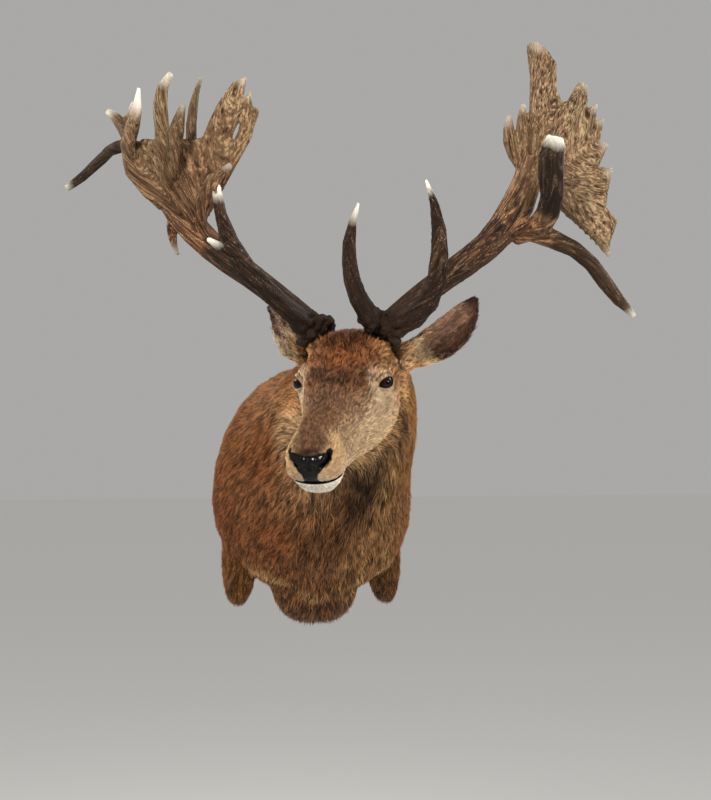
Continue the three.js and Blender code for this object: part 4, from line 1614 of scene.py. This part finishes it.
# %% [markdown]
# ## The coat
#
# Hair as curves would be lost when the model is exported, so the coat is solid mesh. One tuft is
# modelled first: a three-sided blade, thin at its root, widest at a third of its length and drawn
# out to a point. Copies of it are laid over the skin in arrays: each leans along the lie of the
# hair, overlaps the next like a roof tile, and takes its colour from the markings, dark at the root
# and light at the tip.

# %% One tuft
TUFT_BELLY = 0.36
TUFT_TIP = 0.9  # above this only the point of the blade lies on its axis


def model_tuft():
    """A blade one unit long along z and one unit wide, from its root at the origin."""
    bm = bmesh.new()
    bmesh.ops.create_cone(bm, segments=3, radius1=0.5, radius2=0.0, depth=1 - TUFT_BELLY, cap_ends=True)
    bmesh.ops.translate(bm, verts=bm.verts, vec=(0, 0, 0.5 + TUFT_BELLY / 2))
    foot = [f for f in bm.faces if abs(f.normal.z) > 0.99]
    bmesh.ops.poke(bm, faces=foot)
    for vert in bm.verts:
        if vert.co.xy.length < 0.001 and vert.co.z < TUFT_TIP:
            vert.co = (0, 0, 0)
    bmesh.ops.remove_doubles(bm, verts=bm.verts, dist=1e-4)
    bmesh.ops.recalc_face_normals(bm, faces=bm.faces)
    points = np.array([v.co for v in bm.verts])
    faces = np.array([[v.index for v in f.verts] for f in bm.faces])
    bm.free()
    return points, faces


def tuft_map(points, faces):
    """Where the corners of one tuft's faces lie in its patch: three strips, from root to tip."""
    belly = [index for index, point in enumerate(points) if 0.01 < point[2] < 0.99]
    strips = []
    for face in faces:
        pair = sorted(v for v in face if v in belly)
        number = {(1, 2): 0, (2, 3): 1, (1, 3): 2}[tuple(pair)]
        for v in face:
            offset = (0.1, 0.9)[pair.index(v)] if v in pair else 0.5
            strips.append(((number + offset) / 3, points[v][2]))
    return np.array(strips)


tuft_points, tuft_faces = model_tuft()
tuft_uv = tuft_map(tuft_points, tuft_faces)
print("one tuft:", len(tuft_points), "points,", len(tuft_faces), "faces")

# %% [markdown]
# Where a tuft roots it must know four things: the way it lies, its length, how far it may lean out and
# where it may not grow at all. Round the eye the hair parts from the lids, on the ear it runs to the
# tip, and on the forehead it swirls.

# %% Hair at any place
EAR_EDGE_HAIR = 9
SWIRL_SIZE = 0.016
COAT_BACK = -0.012
BURR_FOOT = (58, -70, 58)


def hair_at(places, normals, ear_share):
    """The way, laid on the skin, and the length of the hair at each place."""
    way, length = lie_of_hair(places)
    for ear in ears.values():
        here = ear_share * ear.near(places)
        along, across = ear.spots(places)
        edge = rise(np.abs(across), 20, 30) * rise(normals @ ear.looks, -0.4, 0.2)
        inward = -np.sign(across)[:, None] * ear.across * edge[:, None]
        way += here[:, None] * (ear.along + 0.9 * inward - way)
        length += here * (EAR_HAIR + EAR_EDGE_HAIR * np.maximum(edge, 1 - rise(along, 0.1, 0.4)) - length)
    for eye in eyes.values():
        over, outward = off_opening(eye, places)
        near = 1 - rise(over, 1, 20)
        way += (1.3 * near)[:, None] * outward
        length *= 1 - 0.62 * near
    spots = in_head(places)
    forehead = (1 - rise(np.abs(spots[:, 0]), 45, 75)) * rise(spots[:, 2], 30, 55)
    forehead *= rise(spots[:, 1], -60, -30) * (1 - rise(spots[:, 1], 30, 75))
    swirl = 0.22 + 1.05 * forehead + 0.2 * rise(length, 22, 34)
    drift = np.column_stack([ripple(places, SWIRL_SIZE, seed) for seed in (21, 22, 23)])
    way = way + swirl[:, None] * drift
    way = unit(way - (way * normals).sum(1, keepdims=True) * normals)
    return way, length


def may_root(places):
    """False on bare skin, on the board's side and under the burrs."""
    free = (np.max(bare_masks(places), axis=0) < 0.35) & (places[:, 1] < COAT_BACK)
    for side in (1, -1):
        under_burr = from_head(np.array(BURR_FOOT) * (side, 1, 1))
        free &= np.linalg.norm(places - under_burr, axis=1) > 0.018
    for eye in eyes.values():
        free &= off_opening(eye, places)[0] > 1.8
    return free


print("hair of the ears:", EAR_HAIR, "to", EAR_HAIR + EAR_EDGE_HAIR, "mm")

# %% [markdown]
# The coat is cut into regions, so that no piece grows too heavy. Each region's skin is unwrapped for
# a map of its own, named OFBake, on which every tuft gets a small patch at the place of its root.

# %% Regions of the coat
REGIONS = ("face", "head_left", "head_right", "ear_left", "ear_right")
REGIONS += ("neck_left", "neck_right", "trunk_left", "trunk_right")
MUZZLE_LINE = 92
NECK_MIDDLE = 0.035


def regions_of(places):
    """The name of the region that each place is in."""
    part = np.array(FLESH)[nearest_part(places, FLESH)]
    spots = in_head(places)
    region = np.where(places[:, 0] > 0, "trunk_left", "trunk_right")
    on_neck = np.where(places[:, 0] > NECK_MIDDLE, "neck_left", "neck_right")
    region = np.where(part == "neck", on_neck, region)
    on_head = np.where(spots[:, 0] > 0, "head_left", "head_right")
    on_head = np.where(spots[:, 1] > MUZZLE_LINE, "face", on_head)
    region = np.where(part == "head", on_head, region)
    return np.where(np.char.startswith(part, "ear"), part, region)


def corner_number(face, count):
    """A number of its own for each face, from its three lowest corners out of a count."""
    low, middle, high = sorted(vert.index for vert in face.verts)[:3]
    return (low * count + middle) * count + high


def region_mesh(name, chosen):
    """A copy of the skin with the chosen faces only, unwrapped over the whole of its map.

    An extrusion may store its faces in another order on each run, so they are sorted by their
    corners, and the tufts root at the same places every time.
    """
    mesh = skin.data.copy()
    with edited(mesh) as bm:
        others = [bm.faces[i] for i in np.flatnonzero(~chosen)]
        bmesh.ops.delete(bm, geom=others, context="FACES")
        bm.verts.index_update()
        bm.faces.sort(key=lambda face: corner_number(face, len(bm.verts)))
    cloth = bpy.data.objects.new(name, mesh)
    bpy.context.collection.objects.link(cloth)
    bpy.context.view_layer.objects.active = cloth
    cloth.select_set(True)
    bpy.ops.object.mode_set(mode="EDIT")
    bpy.ops.mesh.select_all(action="SELECT")
    bpy.ops.uv.smart_project(angle_limit=math.radians(70), island_margin=0.004)
    bpy.ops.object.mode_set(mode="OBJECT")
    bpy.data.objects.remove(cloth)
    return mesh


def triangles_of(mesh):
    """The vertices and the corners of a mesh's triangles, and the corners' places on its map."""
    mesh.calc_loop_triangles()
    corners = np.empty(len(mesh.loop_triangles) * 3, np.int32)
    mesh.loop_triangles.foreach_get("loops", corners)
    verts = np.empty(len(mesh.loop_triangles) * 3, np.int32)
    mesh.loop_triangles.foreach_get("vertices", verts)
    flat = np.empty(len(mesh.loops) * 2, np.float32)
    mesh.uv_layers.active.data.foreach_get("uv", flat)
    return verts.reshape(-1, 3), flat.reshape(-1, 2)[corners].reshape(-1, 3, 2)


print("regions of the coat:", len(REGIONS))

# %% [markdown]
# Roots are strewn by area: the running sum of how many tufts each triangle should hold is cut at
# evenly spaced marks with a little jitter. That spreads them far more evenly than free chance.

# %% Laying the tufts
COVER = {"face": 1.5, "head": 2.7, "ear": 1.9, "neck": 3.4, "trunk": 3.4}  # layers of tufts
MOST_TUFTS = 33000


def width_of(length):
    """A tuft's width for its length, both in millimetres."""
    return 0.55 + 0.068 * length


def strewn(expected, rng):
    """Random spots on triangles: the triangle of each, and its shares of the three corners."""
    steps = np.cumsum(expected)
    count = int(steps[-1])
    marks = (np.arange(count) + rng.random(count)) * (steps[-1] / count)
    picked = np.searchsorted(steps, marks).clip(0, len(expected) - 1)
    root = np.sqrt(rng.random(count))
    second = rng.random(count)
    return picked, np.column_stack((1 - root, root * (1 - second), root * second))


def roots_of(region, mesh, rng):
    """Where the tufts of a region root: place, normal, share of ear and spot on the region's map."""
    places = points_of(mesh)
    normals = unit(points_of(mesh, "normal"))
    ear_share = ear_share_of(places, edges_of(mesh))
    tris, flat = triangles_of(mesh)
    corners = places[tris]
    centre = corners.mean(axis=1)
    sides = corners[:, 1:] - corners[:, :1]
    area = np.linalg.norm(np.cross(sides[:, 0], sides[:, 1]), axis=1) / 2
    _, length = hair_at(centre, normals[tris[:, 0]], ear_share[tris[:, 0]])
    cover = COVER[region.split("_")[0]]
    expected = may_root(centre) * cover * area / (0.5 * length * width_of(length) * MM * MM)
    expected *= min(1, MOST_TUFTS / expected.sum())
    picked, shares = strewn(expected, rng)

    def mean_of(values):
        """The mean of three corners' values by their shares."""
        return (values * shares[:, :, None]).sum(axis=1)

    roots = mean_of(corners[picked])
    out = unit(mean_of(normals[tris[picked]]))
    ear = mean_of(ear_share[tris[picked]][:, :, None])[:, 0]
    spot = mean_of(flat[picked])
    free = may_root(roots)
    return roots[free], out[free], ear[free], spot[free]


print("width of a tuft 20 mm long:", round(width_of(20), 2), "mm")

# %% Shape and tone of the tufts
TUFT_THICK = 0.45
TUFT_SINK = 0.0004
BOARD_GAP = 0.001


def streaks(places, way, size, reach, seed):
    """Random values of mean 0 and spread 1, drawn out along a way, so that near tufts make locks."""
    total = sum(ripple(places + step * reach * way, size, seed) for step in np.linspace(-1, 1, 7))
    return (total - total.mean()) / total.std()


def lay_tufts(roots, out, ear, rng):
    """The points of every tuft, and how bright the lock is that it belongs to."""
    count = len(roots)
    way, length = hair_at(roots, out, ear)
    side = np.cross(way, out)
    length = length * MM * rng.uniform(0.72, 1.25, count)
    width = width_of(length / MM) * MM * rng.uniform(0.75, 1.2, count)
    lock_size = 0.0020 + 0.05 * length.mean()
    locks = streaks(roots, way, lock_size, 0.45 * length.mean(), 31)
    waves = streaks(roots, way, 3 * lock_size, 0.8 * length.mean(), 35)
    lean = DEPTH_SHARE * rng.uniform(0.45, 1.15, count) * (1 - 0.5 * ear) * np.exp(0.16 * locks)
    curl = rng.normal(0, 0.10, count)
    turn = rng.normal(0, 0.16, count)[:, None]
    way = unit(way + turn * side)
    side = np.cross(way, out)

    across, up, along = tuft_points.T
    lift = along + 0.7 * along * (1 - along)
    reach = length[:, None] * along * np.sqrt(1 - lean[:, None] ** 2)
    height = length[:, None] * lean[:, None] * lift + width[:, None] * up * TUFT_THICK - TUFT_SINK
    aside = width[:, None] * across + (curl * length)[:, None] * along**2
    points = roots[:, None] + reach[..., None] * way[:, None]
    points = points + height[..., None] * out[:, None] + aside[..., None] * side[:, None]
    points[..., 1] = np.minimum(points[..., 1], -BOARD_GAP)
    return points, 0.58 * locks + 0.07 * waves


def tuft_tones(roots, colour, locks, rng):
    """A colour for every point of every tuft, dark at the root; pale coat varies less."""
    along = tuft_points[:, 2]
    calm = 1 - 0.7 * rise(colour.mean(axis=1), 0.15, 0.42)
    shade = 0.34 * rng.normal(0, 1, len(roots)) + locks + 0.10 * ripple(roots, 0.04, 32)
    shade = np.exp(np.minimum(shade * calm, 0.70) - 0.08)
    bright = 1 + calm[:, None] * (0.92 * along - 0.54)
    return colour[:, None] * shade[:, None, None] * bright[..., None]


print("a tuft is", TUFT_THICK, "as thick as it is wide, and its root", TUFT_SINK / MM, "mm in the skin")

# %% One mesh from the arrays
PATCH = 0.003


def coat_piece(name, points, tones, spot):
    """One piece of all the tufts of a region, with their tones and their patches of the map."""
    count = len(points)
    mesh = bpy.data.meshes.new(name)
    mesh.vertices.add(count * len(tuft_points))
    mesh.vertices.foreach_set("co", points.astype(np.float32).ravel())
    faces = (np.arange(count)[:, None, None] * len(tuft_points) + tuft_faces).reshape(-1, 3)
    mesh.loops.add(faces.size)
    mesh.loops.foreach_set("vertex_index", faces.astype(np.int32).ravel())
    mesh.polygons.add(len(faces))
    mesh.polygons.foreach_set("loop_start", np.arange(0, faces.size, 3, dtype=np.int32))
    mesh.update(calc_edges=True)
    mesh.shade_smooth()
    attribute(mesh, "colour", tones.reshape(-1, 3))
    patch = spot.clip(PATCH, 1 - PATCH)[:, None] + (tuft_uv - 0.5) * PATCH
    layer = mesh.uv_layers.new(name="OFBake")
    layer.data.foreach_set("uv", patch.astype(np.float32).ravel())
    piece = bpy.data.objects.new(name, mesh)
    bpy.context.collection.objects.link(piece)
    return piece


print("patch of a tuft:", PATCH, "of its map")

# %% Coat
coat_finish = Finish("coat", Roughness=0.6, Specular_IOR_Level=0.14)
hair_tone = coat_finish.stored("colour", colour=True)
coat_finish.set(Base_Color=coat_finish.scaled(hair_tone, 0.72 + 0.56 * coat_finish.noise(700, 2)))

first_corners = [face.vertices[0] for face in skin.data.polygons]
face_regions = regions_of(points_of(skin.data))[first_corners]
rng = np.random.default_rng(7)
coat_faces = 0
for region in REGIONS:
    mesh = region_mesh(f"skin of {region}", face_regions == region)
    roots, out, ear, spot = roots_of(region, mesh, rng)
    colour = coat_colour(roots, out, ear)
    points, locks = lay_tufts(roots, out, ear, rng)
    piece = coat_piece(f"coat_{region}", points, tuft_tones(roots, colour, locks, rng), spot)
    piece.data.materials.append(coat_finish.material)
    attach(piece, "root")
    coat_faces += len(piece.data.polygons)
    print(piece.name, len(piece.data.polygons), "faces")
print("coat in all:", coat_faces, "faces")

# %% [markdown]
# ## Handing over
#
# The skin takes the place of every solid of flesh.

# %% Finish
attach(skin, "root")
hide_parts(*FLESH)
skin.data.shade_smooth()
